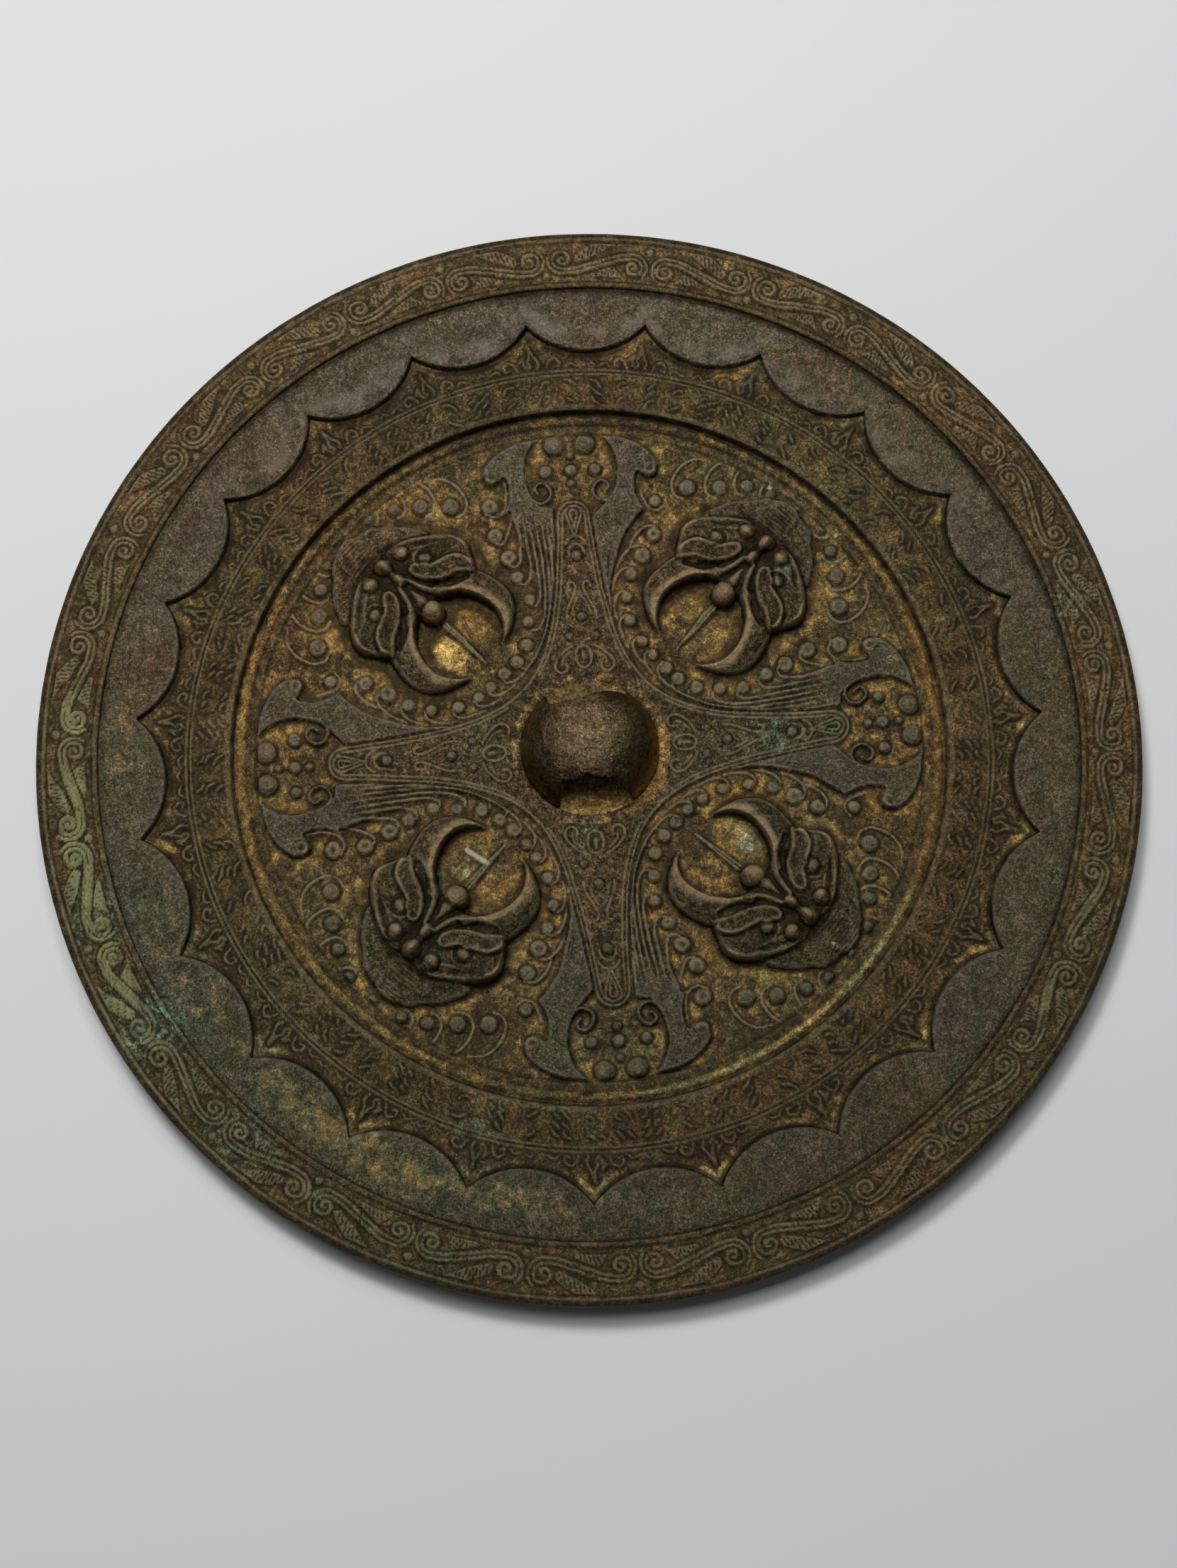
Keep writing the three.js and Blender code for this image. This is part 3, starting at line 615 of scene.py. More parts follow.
def draw_field(step=0.1):
    canvas = Canvas((-53.5, 53.5), (-53.5, 53.5), step, FIELD_TOP)
    draw_star(canvas)
    rng = np.random.default_rng(7)
    for quarter in range(4):
        draw_discs(canvas, 90 * quarter, rng)
        draw_outer_balls(canvas, 90 * quarter + 45, rng)
        draw_arm(canvas, 90 * quarter, rng)
    for quarter in range(4):
        draw_beast(canvas, 45 + 90 * quarter, np.array(BEAST_SHIFTS[quarter]))
    a, b = canvas.grid()
    radius = np.hypot(a, b)
    canvas.height = FIELD_TOP + (canvas.height - FIELD_TOP) * (1 - smoothstep(48.2, 48.7, radius))
    bulge = 0.28 * np.clip(1 - ((radius - 50.3) / 1.6) ** 2, 0, 1)
    bulge -= 0.14 * np.exp(-(((radius - 48.75) / 0.2) ** 2))
    canvas.height = (canvas.height + bulge).astype(np.float32)
    canvas.height = canvas.blurred(0.07)
    return canvas


# ---- the inscription band and the linked arcs ----
def scallop(degrees):
    """Radius of the linked arcs' inner edge."""
    pitch = 360 / ARC_COUNT
    phase = np.radians((degrees - ARC_TURN + pitch / 2) % pitch - pitch / 2)
    half = math.radians(pitch / 2)
    chord, rise = ARC_APEX * math.sin(half), ARC_APEX * math.cos(half) - ARC_MIDDLE
    radius = (chord**2 + rise**2) / (2 * rise)
    centre = ARC_MIDDLE + radius
    phase = half - np.abs(phase)
    return centre * np.cos(phase) - np.sqrt(radius**2 - (centre * np.sin(phase)) ** 2)


def gutter_rise(radius):
    """The side of the recess and the round bead at its foot, in millimetres above the floor."""
    bead = BEAD_HEIGHT * (1 - np.clip(np.abs(radius - BEAD_MIDDLE) / BEAD_HALF, 0, 1) ** 2)
    return bead + (LEGEND_TOP - FIELD_TOP) * smoothstep(WALL_FOOT, WALL_HEAD, radius)


def band_base(degrees, radius):
    """Heights from the recess wall out to the step of the rim, without the small relief."""
    edge = scallop(degrees)
    height = FIELD_TOP + gutter_rise(radius)
    height += 0.10 * np.exp(-(((radius - 52.9) / 0.28) ** 2))
    past = radius - edge
    arc_face = ARC_TOP + 0.12 * smoothstep(0.3, 2.2, past) + 0.45 * smoothstep(63.5, 70.0, radius)
    arc_face -= 0.10 * smoothstep(70.3, 70.95, radius)
    arc_face -= 0.36 * (1 - np.clip((past + 0.1) / 1.3, 0, 1)) ** 2
    height += (arc_face - LEGEND_TOP) * smoothstep(-0.32, 0.08, past)
    return height


def draw_leaf(canvas, s, size, rng):
    """The pointed leaf between two arcs, with curls beside it. s is the place along the unrolled band."""
    def at(points):
        return np.asarray(points, float) * [size, 1.0] + [s, LEAF_FOOT]

    lean = rng.uniform(-0.3, 0.3)
    leaf = spline([(-0.75, 0.1), (-0.95, 1.0), (-0.35, 2.1), (lean, 3.7), (0.15, 2.2), (0.55, 1.2),
                   (0.25, 0.5), (0.7, 0.15), (1.2, 0.9), (1.15, 1.9), (1.7, 1.2)], 5)
    canvas.stroke(at(leaf), 0.26, 0.42)
    for side in (-1, 1):
        curl = [(2.1, 0.0), (2.5, 1.0), (3.2, 1.45), (4.0, 0.9), (3.9, 0.15), (3.3, 0.3)]
        canvas.stroke(at(spline(curl, 5) * [side, 1] + rng.normal(0, 0.08, 2)), 0.25, 0.36, ends=(0.6, 0.6))
        tail = spline([(4.8, 0.0), (5.3, 0.55), (6.0, 0.4), (6.6, 0.05)], 5) * [side, 1]
        canvas.stroke(at(tail), 0.23, 0.28, ends=(0.5, 0.4))
    canvas.stroke(at([(7.1, 0.35), (7.7, 0.75), (8.3, 0.3)]), 0.22, 0.24, ends=(0.4, 0.4))


def draw_marks(canvas, s, rng):
    """One group of short shallow ticks, all leaning one way, in two or three rows."""
    middle = MARKS_MIDDLE + rng.normal(0, 0.1)
    lean = rng.choice((-1, 1)) * rng.uniform(0.35, 0.9)
    raised = 0.5 * rng.uniform(0.7, 1.0)
    rows, columns = rng.integers(2, 4), rng.integers(1, 3)
    for row in np.linspace(-1.3, 1.3, rows):
        for column in ((0.0,), (-0.8, 0.8))[columns - 1]:
            half = rng.uniform(0.5, 1.1) / math.sqrt(columns)
            spot = np.array([s + column, middle + row]) + rng.normal(0, 0.1, 2)
            ahead = np.array([math.cos(lean), math.sin(lean)]) * half
            bend = np.array([-ahead[1], ahead[0]]) * rng.uniform(-0.4, 0.4)
            canvas.stroke(spline([spot - ahead, spot + bend, spot + ahead], 3), 0.3, raised, ends=(0.8, 0.7))


def draw_band(step=0.1):
    length = 2 * math.pi * LEGEND_RADIUS
    canvas = Canvas((0, length), (51.4, 71.6), step, 0.0, wrap=True)
    per_degree = length / 360
    rng = np.random.default_rng(11)
    pitch = 360 / ARC_COUNT
    for k in range(ARC_COUNT):
        draw_leaf(canvas, (ARC_TURN - pitch * k) * per_degree % length, rng.uniform(0.92, 1.05), rng)
    s = 0.0
    while s < length - 2.5:
        draw_marks(canvas, s + 1.6, rng)
        s += rng.uniform(3.9, 5.6)
    ring = np.stack([np.linspace(-1, length + 1, 400), np.full(400, LEGEND_LINE)], -1)
    for offset, height in ((-0.28, 0.12), (0.28, 0.12), (0.0, -0.14)):
        canvas.stroke(ring + [0, offset], 0.24, height)
    return canvas


# ---- the rim band ----
def rim_base(radius):
    """Heights of the rim from its step outward, without the scroll."""
    sunk = smoothstep(TROUGH_START - 0.25, TROUGH_START, radius)
    sunk = sunk * (1 - smoothstep(TROUGH_END - 0.15, TROUGH_END + 0.15, radius))
    height = ARC_TOP + 0.45 + (RIM_TOP - ARC_TOP - 0.45) * smoothstep(STEP_FOOT, STEP_HEAD, radius)
    height -= 0.10 * (1 - smoothstep(71.2, 71.5, radius))
    height -= (RIM_TOP - BAND_FLOOR) * sunk
    height -= 0.14 * np.exp(-(((radius - TROUGH_END + 0.1) / 0.14) ** 2))
    height -= 0.08 * np.exp(-(((radius - TROUGH_START) / 0.14) ** 2))
    return height


def offset_line(points, distance):
    points = np.asarray(points, float)
    ahead = np.gradient(points, axis=0)
    ahead /= np.maximum(np.hypot(*ahead.T), 1e-9)[:, None]
    return points + np.stack([-ahead[:, 1], ahead[:, 0]], -1) * distance


def draw_scroll(canvas, s, hand, rng):
    """One S of the rim: a double stem from the inner curl to the outer one, with two hatched leaves."""
    def at(points):
        return np.asarray(points, float) * [hand, 1] + [s, BAND_RADIUS]

    low = np.array([5.35, -0.55]) + rng.normal(0, 0.06, 2)
    high = np.array([-5.3, 0.7]) + rng.normal(0, 0.06, 2)
    stem = spline(np.vstack([
        arc(low, 1.75, -40, 90, 7), [(3.4, 1.0), (1.4, 0.35), (-1.2, -0.45), (-3.4, -1.05)],
        arc(high, 1.85, -90, -230, 7)]), 5)
    for offset in (-0.36, 0.36):
        canvas.stroke(at(offset_line(stem, offset)), 0.4, 0.46, ends=(0.6, 0.6))
    canvas.stroke(at(spiral(low, 1.2, 0.25, -60, -400, 30)), 0.4, 0.46, ends=(0.9, 0.8))
    canvas.stroke(at(spiral(high, 1.3, 0.25, -240, -410, 30)), 0.4, 0.46, ends=(0.9, 0.8))
    for outline in (
        [(2.4, 3.2), (-0.8, 3.2), (-2.3, 2.3), (-3.3, 1.5), (-3.9, 0.7), (-3.0, 0.25), (-0.4, 1.35)],
        [(3.7, -2.1), (2.4, -0.45), (0.6, -1.0), (-1.1, -1.75), (-0.8, -2.2)],
    ):
        place, depth, _, _ = canvas.inside(at(outline), 0.3)
        canvas.put(place, 0.36 * smoothstep(-0.15, 0.2, depth), "add")
        (low_x, low_y), (high_x, high_y) = np.min(outline, 0), np.max(outline, 0)
        for x in np.arange(low_x + 0.5, high_x, 0.62):
            place, distance, _, _ = canvas.nearest(at([(x - 0.35, low_y), (x + 0.35, high_y)]), HATCH_HALF)
            groove = -0.3 * (1 - np.clip(distance / HATCH_HALF, 0, 1) ** 2)
            canvas.put(place, np.where(canvas.height[place] > 0.3, groove, 0), "add")


def draw_rim(step=0.1):
    length = 2 * math.pi * BAND_RADIUS
    canvas = Canvas((0, length), (70.4, 80.2), step, 0.0, wrap=True)
    per_degree = length / 360
    rng = np.random.default_rng(5)
    for k in range(SCROLL_COUNT):
        hand = 1 if k % 2 == 0 else -1
        middle = SCROLL_TURN - 360 / SCROLL_COUNT * k
        draw_scroll(canvas, middle * per_degree % length, hand, rng)
        if hand == 1:
            canvas.ball(((middle + 6) * per_degree % length, 77.3), 0.62, 0.42)
            canvas.ball(((middle - 6) * per_degree % length, 73.1), 0.6, 0.42)
    return canvas


# ---- from drawn relief to closed meshes ----
class Relief:
    """A canvas with its smoothed copies, ready to be sampled for height and for where dirt gathers."""

    def __init__(self, canvas, form=0.0):
        self.canvas = canvas
        self.total = (canvas.height + form).astype(np.float32)
        keep, canvas.height = canvas.height, self.total
        self.near = canvas.blurred(0.3) - self.total
        self.wide = canvas.blurred(1.5) - self.total
        canvas.height = keep


class RingRelief(Relief):
    """The relief of an unrolled canvas over its plain form, a function of degrees and radius."""

    def __init__(self, canvas, unrolled, form, ground):
        s, radius = canvas.grid()
        super().__init__(canvas, form(s / unrolled * 180 / math.pi, radius))
        self.unrolled, self.form, self.ground = unrolled, form, ground

    def sampled(self, turn, radius):
        """Where points of the ring lie in plan, with their heights and hollows."""
        x, y = plan(radius, turn)
        dx, dy = sway(x, y)
        s = degrees_of(x, y) * math.pi / 180 * self.unrolled
        read = lambda layer: self.canvas.sample(layer, s + dx, np.hypot(x, y) + dy * 0.5)
        z = self.form(turn, radius) + read(self.canvas.height) + skin(x, y)
        return x, y, z, read(self.near), read(self.wide)


def sway(x, y):
    """The small unevenness of a hand-worked mould, in millimetres."""
    return 0.14 * cloud(x, y, 7.0, 21), 0.14 * cloud(x, y, 7.0, 31)


def lumps(x, y, height):
    """The blurred, pitted surface of the high casting of the beasts, in millimetres."""
    return (0.09 * cloud(x, y, 1.7, 171) + 0.05 * cloud(x, y, 0.7, 181, 2)) * smoothstep(2.4, 3.2, height)


def skin(x, y):
    """Fine unevenness of the cast and corroded surface, in millimetres."""
    return 0.035 * cloud(x, y, 2.6, 41) + 0.022 * cloud(x, y, 0.8, 51, 2)


def ground_level(radius):
    return FIELD_TOP + 0.25 * smoothstep(49, 50, radius) + gutter_rise(radius)


def field_sample(relief, x, y):
    """Heights and hollows of the field, whose pattern is turned a little, and more so to one side."""
    dx, dy = sway(x, y)
    fade = 1 - smoothstep(49.5, 51.5, np.hypot(x, y))
    twist = 1.2 + 1.1 * np.cos(np.arctan2(y, x) + math.pi / 4)
    twist = np.radians(twist) * smoothstep(8, 40, np.hypot(x, y)) * fade
    x0, y0 = x * np.cos(twist) + y * np.sin(twist), y * np.cos(twist) - x * np.sin(twist)
    read = lambda layer: relief.canvas.sample(layer, x0 + dx * fade, y0 + dy * fade)
    height = read(relief.total)
    settle = smoothstep(51.0, 52.0, np.hypot(x, y))
    height = height * (1 - settle) + FIELD_TOP * settle + gutter_rise(np.hypot(x, y)) + skin(x, y)
    return height + lumps(x, y, height), read(relief.near), read(relief.wide)


def new_piece(name, points, faces, masks, material):
    mesh = bpy.data.meshes.new(name)
    mesh.from_pydata((np.asarray(points) * MM).tolist(), [], faces)
    mesh.validate()
    mesh.polygons.foreach_set("use_smooth", np.ones(len(mesh.polygons), bool))
    for mask, values in masks.items():
        layer = mesh.attributes.new(mask, "FLOAT", "POINT")
        layer.data.foreach_set("value", np.asarray(values, np.float32))
    mesh.materials.append(material)
    mesh.update()
    piece = bpy.data.objects.new(name, mesh)
    bpy.context.scene.collection.objects.link(piece)
    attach(piece, "root")
    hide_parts("mirror")
    return piece


def around(columns):
    """The directions, in degrees, of evenly spaced points round the disc."""
    return np.arange(columns) * 360 / columns


def loop_quads(rows, columns, closed=False):
    """Quads between rows of points that are loops. Closed joins the last row to the first one too."""
    row = np.arange(rows if closed else rows - 1)[:, None] * columns
    after = (row + columns) % (rows * columns)
    i = np.arange(columns)
    n = (i + 1) % columns
    return np.stack([row + i, row + n, after + n, after + i], -1).reshape(-1, 4)


# stains and fills: place (degrees round the disc, radius), spread and amount
EARTH = (
    (142, 25.0, 3.2, 1.0), (130, 26.0, 2.6, 0.6), (50, 25.0, 4.0, 0.5), (38, 25.5, 4.0, 0.45),
    (322, 25.0, 3.6, 0.65), (230, 25.0, 3.4, 0.7), (120, 43.0, 4.5, 0.75), (150, 43.0, 4.0, 0.55),
    (105, 40.0, 3.5, 0.5), (32, 43.0, 3.6, 0.75), (57, 42.0, 3.5, 0.3), (172, 42.8, 2.6, 1.0),
    (188, 43.0, 2.4, 0.6), (330, 24.5, 5.0, 0.6), (300, 42.0, 5.0, 0.35), (206, 41.0, 4.0, 0.35),
    (350, 43.0, 3.0, 0.5), (12, 43.0, 3.0, 0.4), (98, 43.0, 2.4, 0.6), (160, 33.0, 4.0, 0.5),
    (82, 61.5, 3.0, 0.6), (66, 61.5, 3.0, 0.5), (98, 61.5, 3.0, 0.5), (45, 75.0, 12.0, 0.18),
    (15, 75.0, 12.0, 0.18), (75, 75.0, 12.0, 0.15),
)
GREEN = (
    (235, 75.0, 16.0, 0.6), (265, 75.0, 16.0, 0.5), (205, 62.0, 10.0, 0.35), (235, 33.0, 12.0, 0.4),
    (330, 33.0, 9.0, 0.3), (318, 25.0, 5.0, 0.7), (228, 26.0, 6.0, 0.8), (45, 24.0, 4.5, 0.55),
    (270, 50.4, 16.0, 0.8), (310, 50.4, 12.0, 0.7), (0, 30.0, 9.0, 0.6), (250, 75.0, 20.0, 0.7),
    (215, 75.0, 18.0, 0.8), (180, 75.0, 16.0, 0.55), (285, 75.0, 14.0, 0.4), (316, 75.0, 14.0, 0.6),
    (340, 75.0, 12.0, 0.5), (225, 42.0, 9.0, 0.5), (300, 40.0, 9.0, 0.35), (0, 62.0, 14.0, 0.4),
    (45, 57.0, 13.0, 0.8), (66, 57.0, 10.0, 0.6), (22, 57.0, 10.0, 0.5), (92, 57.0, 9.0, 0.35),
    (150, 58.0, 7.0, 0.5), (215, 57.0, 14.0, 0.4),
)
WARM = (
    (130, 26.0, 3.0, 0.9), (135, 62.0, 10.0, 0.5), (12, 60.0, 8.0, 0.2), (85, 61.0, 9.0, 0.6),
    (40, 75.0, 16.0, 0.45), (0, 75.0, 12.0, 0.6), (350, 57.0, 10.0, 0.4), (150, 45.0, 7.0, 0.5),
    (95, 27.0, 10.0, 0.45), (120, 30.0, 8.0, 0.3), (280, 60.0, 9.0, 0.4), (305, 68.0, 7.0, 0.3),
    (170, 60.0, 8.0, 0.3),
)
TEAL = (
    (217, 29.5, 1.6, 0.9), (38.5, 39.2, 1.5, 0.8), (0, 27.0, 3.6, 0.35), (325, 27.0, 1.3, 0.9),
    (210, 74.0, 5.0, 0.9), (262, 12.5, 2.0, 0.5), (226, 75.0, 4.0, 0.6), (14, 73.0, 3.0, 0.4),
    (196, 74.0, 6.0, 0.35), (250, 58.0, 3.0, 0.3),
)
PALE = (
    (142, 24.8, 2.5, 1.0), (172, 42.8, 1.8, 0.7), (119, 43.5, 2.4, 0.45), (329, 25.6, 2.2, 0.6),
    (223, 26.0, 1.8, 0.5), (187, 74.0, 9.0, 0.45), (31, 43.5, 2.2, 0.4), (55, 23.5, 1.8, 0.45),
)


# ring stains, and rings of painted shade and painted light, as (radius in mm, width in mm, direction in
# degrees, spread in degrees, strength)
EARTH_RINGS = (
    (50.9, 0.9, 315, 70, 1.0), (50.9, 0.9, 10, 30, 0.8), (50.9, 0.9, 190, 45, 0.8),
    (50.9, 0.8, 90, 400, 0.25), (10.9, 0.9, 335, 45, 1.0), (11.0, 1.1, 180, 60, 0.5),
    (11.0, 0.9, 90, 400, 0.25),
)
GREEN_RINGS = ((50.9, 1.1, 295, 55, 1.0), (75.0, 2.6, 250, 60, 0.5), (75.0, 2.6, 190, 30, 0.4))
WARM_RINGS = (
    (56.0, 4.0, 300, 60, 0.5), (50.9, 1.0, 10, 30, 0.6), (10.9, 1.0, 335, 50, 0.9), (50.9, 1.0, 180, 40, 0.4),
)
FOOT_RINGS = ((10.9, 0.9, 335, 50, 0.95), (10.9, 0.6, 150, 80, 0.4))
# pale patina on the bead at the recess wall; on its south side, which faces the lamps, partly a painted
# highlight
PALE_AND_LIT_RINGS = ((50.9, 0.6, 300, 48, 0.6), (50.9, 0.6, 15, 14, 0.28))
DUST_RINGS = (
    (66.5, 3.2, 245, 26, 0.6), (66.0, 3.0, 208, 14, 0.5), (68.0, 2.4, 180, 12, 0.3), (66.0, 3.0, 60, 14, 0.2),
)
CRUST_RINGS = ((75.0, 3.0, 194, 26, 1.0), (75.0, 3.0, 330, 24, 0.5), (75.0, 3.0, 238, 8, 0.5))
# painted shade and shadow: dark rings at the recess wall and under the rim's step, mostly on the northern
# side, where the walls face away from the lamps
SHADE_RINGS = (
    (51.95, 0.45, 85, 85, 1.4), (51.9, 0.25, 278, 110, 0.9), (50.05, 0.2, 90, 500, 0.75),
    (50.2, 0.35, 98, 60, 0.3), (70.75, 0.5, 75, 85, 1.3), (71.0, 0.22, 278, 110, 0.7),
    (50.9, 0.8, 75, 50, 0.45),
)
# white grains caught in the relief, as (x, y, size in mm)
GRAINS = ((29.3, 38.7, 0.42), (38.5, 30.6, 0.35), (-12.6, 36.0, 0.25), (33.0, -31.0, 0.28), (9.5, -9.2, 0.25))


def stained(stains, x, y, rings=()):
    """The summed strength of some stains and ring stains at plan points, from 0 to 1."""
    total = np.zeros(np.shape(x))
    for radius, width, turn, spread, amount in rings:
        away = (degrees_of(x, y) - turn + 180) % 360 - 180
        total += amount * np.exp(-((np.hypot(x, y) - radius) / width) ** 2 - (away / spread) ** 2)
    for turn, radius, spread, amount in stains:
        place_x, place_y = plan(radius, turn)
        total += amount * np.exp(-((x - place_x) ** 2 + (y - place_y) ** 2) / spread**2)
    return np.clip(total, 0, 1)


def white_grains(x, y):
    """A pale sliver lying in one hollow, and a few grains."""
    along = np.clip(((x + 18.6) * 2.8 - (y + 14.0) * 2.1) / 12.25, 0, 1)
    sliver = np.hypot(x + 18.6 - 2.8 * along, y + 14.0 + 2.1 * along)
    found = 1 - smoothstep(0.24, 0.42, sliver)
    for gx, gy, size in GRAINS:
        found = np.maximum(found, 1 - smoothstep(size * 0.6, size, np.hypot(x - gx, y - gy)))
    return found


def masks_for(x, y, rise, near, wide, even=None):
    """Where earth, rust, wear with painted highlights, and painted shade lie. rise is the height above the
    ground.
    """
    if even is None:
        even = smoothstep(0.7, 0.85, rise) * (1 - smoothstep(0.95, 1.15, rise))
    radius = np.hypot(x, y)
    edge = scallop(degrees_of(x, y))

    # places, each 1 inside and 0 outside
    outer = smoothstep(WALL_HEAD - 0.4, WALL_HEAD + 0.2, radius)
    past_lip = smoothstep(TROUGH_START - 0.1, TROUGH_START + 0.2, radius)
    band = past_lip * (1 - smoothstep(TROUGH_END - 0.2, TROUGH_END + 0.1, radius))
    lip = smoothstep(70.5, 70.9, radius) * (1 - past_lip)
    border = smoothstep(TROUGH_END, TROUGH_END + 0.3, radius)
    on_legend = (radius > WALL_HEAD + 0.6) & (radius < edge - 0.05) & (even < 0.5)
    gap = np.where(on_legend, edge - radius, 9.0)
    legend = np.where(gap < 9, 1.0, 0.0)
    point = (edge - ARC_MIDDLE) / (ARC_APEX - ARC_MIDDLE)
    low = 1 - smoothstep(0.10, 0.38, rise)
    high = smoothstep(0.9, 1.5, rise) * (1 - np.clip(even, 0, 1))
    hollow = smoothstep(0.02, 0.35, wide)
    west = np.exp(-((((degrees_of(x, y) - 205) % 360 + 180) % 360 - 180) / 45) ** 2)
    # how far a point lies towards the lamps, to the north, for painted shadow, sheen and light
    north = 0.5 + 0.5 * (y * 0.88 - x * 0.47) / np.maximum(radius, 1)

    # drifts and flecks
    drift = 0.5 + 0.5 * cloud(x, y, 16.0, 61)
    fleck = 0.5 + 0.5 * cloud(x, y, 2.4, 71)
    speckled = smoothstep(0.3, 0.7, 0.5 + 0.5 * cloud(x, y, 4.0, 81))

    # earth: a film on low ground, fills in the hollows, dust on the arcs and a seam along their edge
    hug = (1 - smoothstep(0.6, 3.2, gap)) * smoothstep(0.05, 0.4, gap)
    hug = hug * (0.3 + 0.7 * smoothstep(0.2, 0.8, point))
    film = 0.4 + 0.6 * smoothstep(0.35, 0.7, 0.5 * drift + 0.5 * fleck)
    film = low * (1 - 0.6 * outer - 0.25 * band) * film
    earth = stained(EARTH, x, y, EARTH_RINGS) * (0.12 + 0.88 * low) * smoothstep(0.1, 0.55, fleck + 0.2)
    earth = (0.14 * film + earth) * (0.7 + 0.4 * hollow)
    settled = (0.5 - 0.35 * outer - 0.11 * band) * hollow * low * smoothstep(0.25, 0.6, fleck + 0.1)
    dust = stained((), x, y, DUST_RINGS) * smoothstep(0.35, 0.75, 0.5 * drift + 0.5 * fleck + 0.1)
    earth = np.maximum(np.clip(earth + settled, 0, 1), dust * even)
    earth = np.maximum(earth, stained((), x, y, FOOT_RINGS) * smoothstep(0.1, 0.5, fleck + 0.2))
    earth = np.maximum(earth, hug * (0.4 + 0.6 * smoothstep(0.3, 0.7, fleck))) * (1 - border)
    paler = stained(PALE, x, y, PALE_AND_LIT_RINGS) + hug * smoothstep(0.2, 0.6, point) * (0.45 + 0.6 * fleck)
    paler = smoothstep(0.28, 0.5, paler + 0.12 * cloud(x, y, 1.8, 161))

    # wear with painted highlights: edges that stand proud and crests, and a painted sheen along the arcs on
    # the lamps' side
    wear_and_highlight = smoothstep(0.010 + 0.01 * high, 0.075 + 0.045 * high, -near)
    wear_and_highlight = wear_and_highlight * (1 - 0.65 * even) * (1 - 0.75 * lip)
    wear_and_highlight = wear_and_highlight * (1 - (0.5 - 0.4 * west) * outer)
    wear_and_highlight = wear_and_highlight * (1 - 0.7 * np.exp(-((radius - WALL_HEAD - 0.2) / 0.6) ** 2))
    lit_worn_crest = high * smoothstep(0.62, 0.95, -wide)
    painted_sheen = smoothstep(0.2, 1.0, radius - edge) * (1 - smoothstep(2.0, 5.0, radius - edge)) * even
    painted_sheen = painted_sheen * smoothstep(0.55, 0.95, north + 0.004 * x) * smoothstep(0.3, 0.7, fleck)
    wear_and_highlight = np.maximum(np.maximum(wear_and_highlight, 0.9 * lit_worn_crest), 0.6 * painted_sheen)

    # painted shade and shadow: narrow and wide hollows, the feet of walls, the outer edge, and under edges
    # that face away from the lamps; some dark grime on the rim's low ground
    dark = (1 + 0.3 * legend) * smoothstep(0.012 - 0.006 * legend, 0.09 - 0.045 * legend, near)
    dark = dark + (0.55 + 0.5 * north) * smoothstep(0.26 - 0.14 * north, 0.62 - 0.2 * north, wide)
    dark = dark + high * (0.2 + 0.55 * smoothstep(0.02, 0.3, wide)) + stained((), x, y, SHADE_RINGS)
    dark = dark + north**2 * (1 - smoothstep(0.5, 1.5, gap)) + 0.5 * (1 - smoothstep(0.0, 0.35, gap))
    dark = dark + 0.8 * smoothstep(TROUGH_END + 0.1, TROUGH_END + 0.6, radius)
    dark = dark + 0.4 * band * (1 - smoothstep(0.05, 0.25, rise)) * smoothstep(0.2, 0.7, fleck)

    crust = 0.5 + 0.5 * cloud(x, y, 3.4, 191)
    crust = band * smoothstep(0.42, 0.62, 0.45 * crust + 0.5 * stained((), x, y, CRUST_RINGS))
    green = stained(GREEN, x, y, GREEN_RINGS) * (0.35 + 0.65 * speckled)
    warm = stained(WARM, x, y, WARM_RINGS) * (0.4 + 0.6 * fleck)
    # painted light: brighter towards the lamps' side, and the gutter darker on the side away from them
    tone = 1.1 + 0.26 * (y * 0.98 - x * 0.17) / RADIUS
    tone = tone * (1 - (0.32 - 0.32 * north) * smoothstep(48, 49, radius) * (1 - outer))
    return {
        "earth": earth,
        "pale": (1 - border) * paler * low,
        "raised": np.maximum(smoothstep(0.12, 0.45, rise), even),
        "green": np.clip(0.22 * speckled + green, 0, 1),
        "warm": np.clip(0.3 * smoothstep(0.5, 0.85, drift) + warm, 0, 1),
        "teal": stained(TEAL, x, y),
        "shade_and_grime": np.clip(dark, 0, 1),
        "wear_and_highlight": wear_and_highlight,
        "lit_worn_crest": lit_worn_crest,
        "crust": crust * smoothstep(0.04, 0.16, rise) * (1 - 0.75 * smoothstep(0.3, 0.42, rise)),
        "tone": tone * (1 - 0.21 * legend) * (1 + 0.2 * band * (1 - west)),
        "even": even + np.zeros(np.shape(x)),
        "white": white_grains(x, y),
    }


def plain_masks(x, y):
    """The masks of the undecorated side: only drifting rust and thin earth."""
    none = np.zeros(np.shape(x))
    masks = dict.fromkeys(("pale", "teal", "shade_and_grime", "wear_and_highlight", "lit_worn_crest", "crust", "white"), none)
    rust = 0.5 + 0.5 * cloud(x, y, 22.0, 201)
    masks["earth"] = 0.3 * smoothstep(0.45, 0.8, rust)
    masks["green"] = 0.7 * smoothstep(0.5, 0.75, 0.5 + 0.5 * cloud(x, y, 14.0, 211))
    masks["warm"] = 0.6 * smoothstep(0.5, 0.8, 1 - rust)
    masks["raised"] = masks["even"] = masks["tone"] = none + 1
    return masks


# ---- pieces ----
def boundary_loop(quads):
    """The outline of a patch of quads, in order."""
    sides = dict.fromkeys((p, q) for quad in quads for p, q in zip(quad, quad[1:] + quad[:1]))
    follow = {p: q for p, q in sides if (q, p) not in sides}
    loop = [next(iter(follow))]
    while follow[loop[-1]] != loop[0]:
        loop.append(follow[loop[-1]])
    return loop


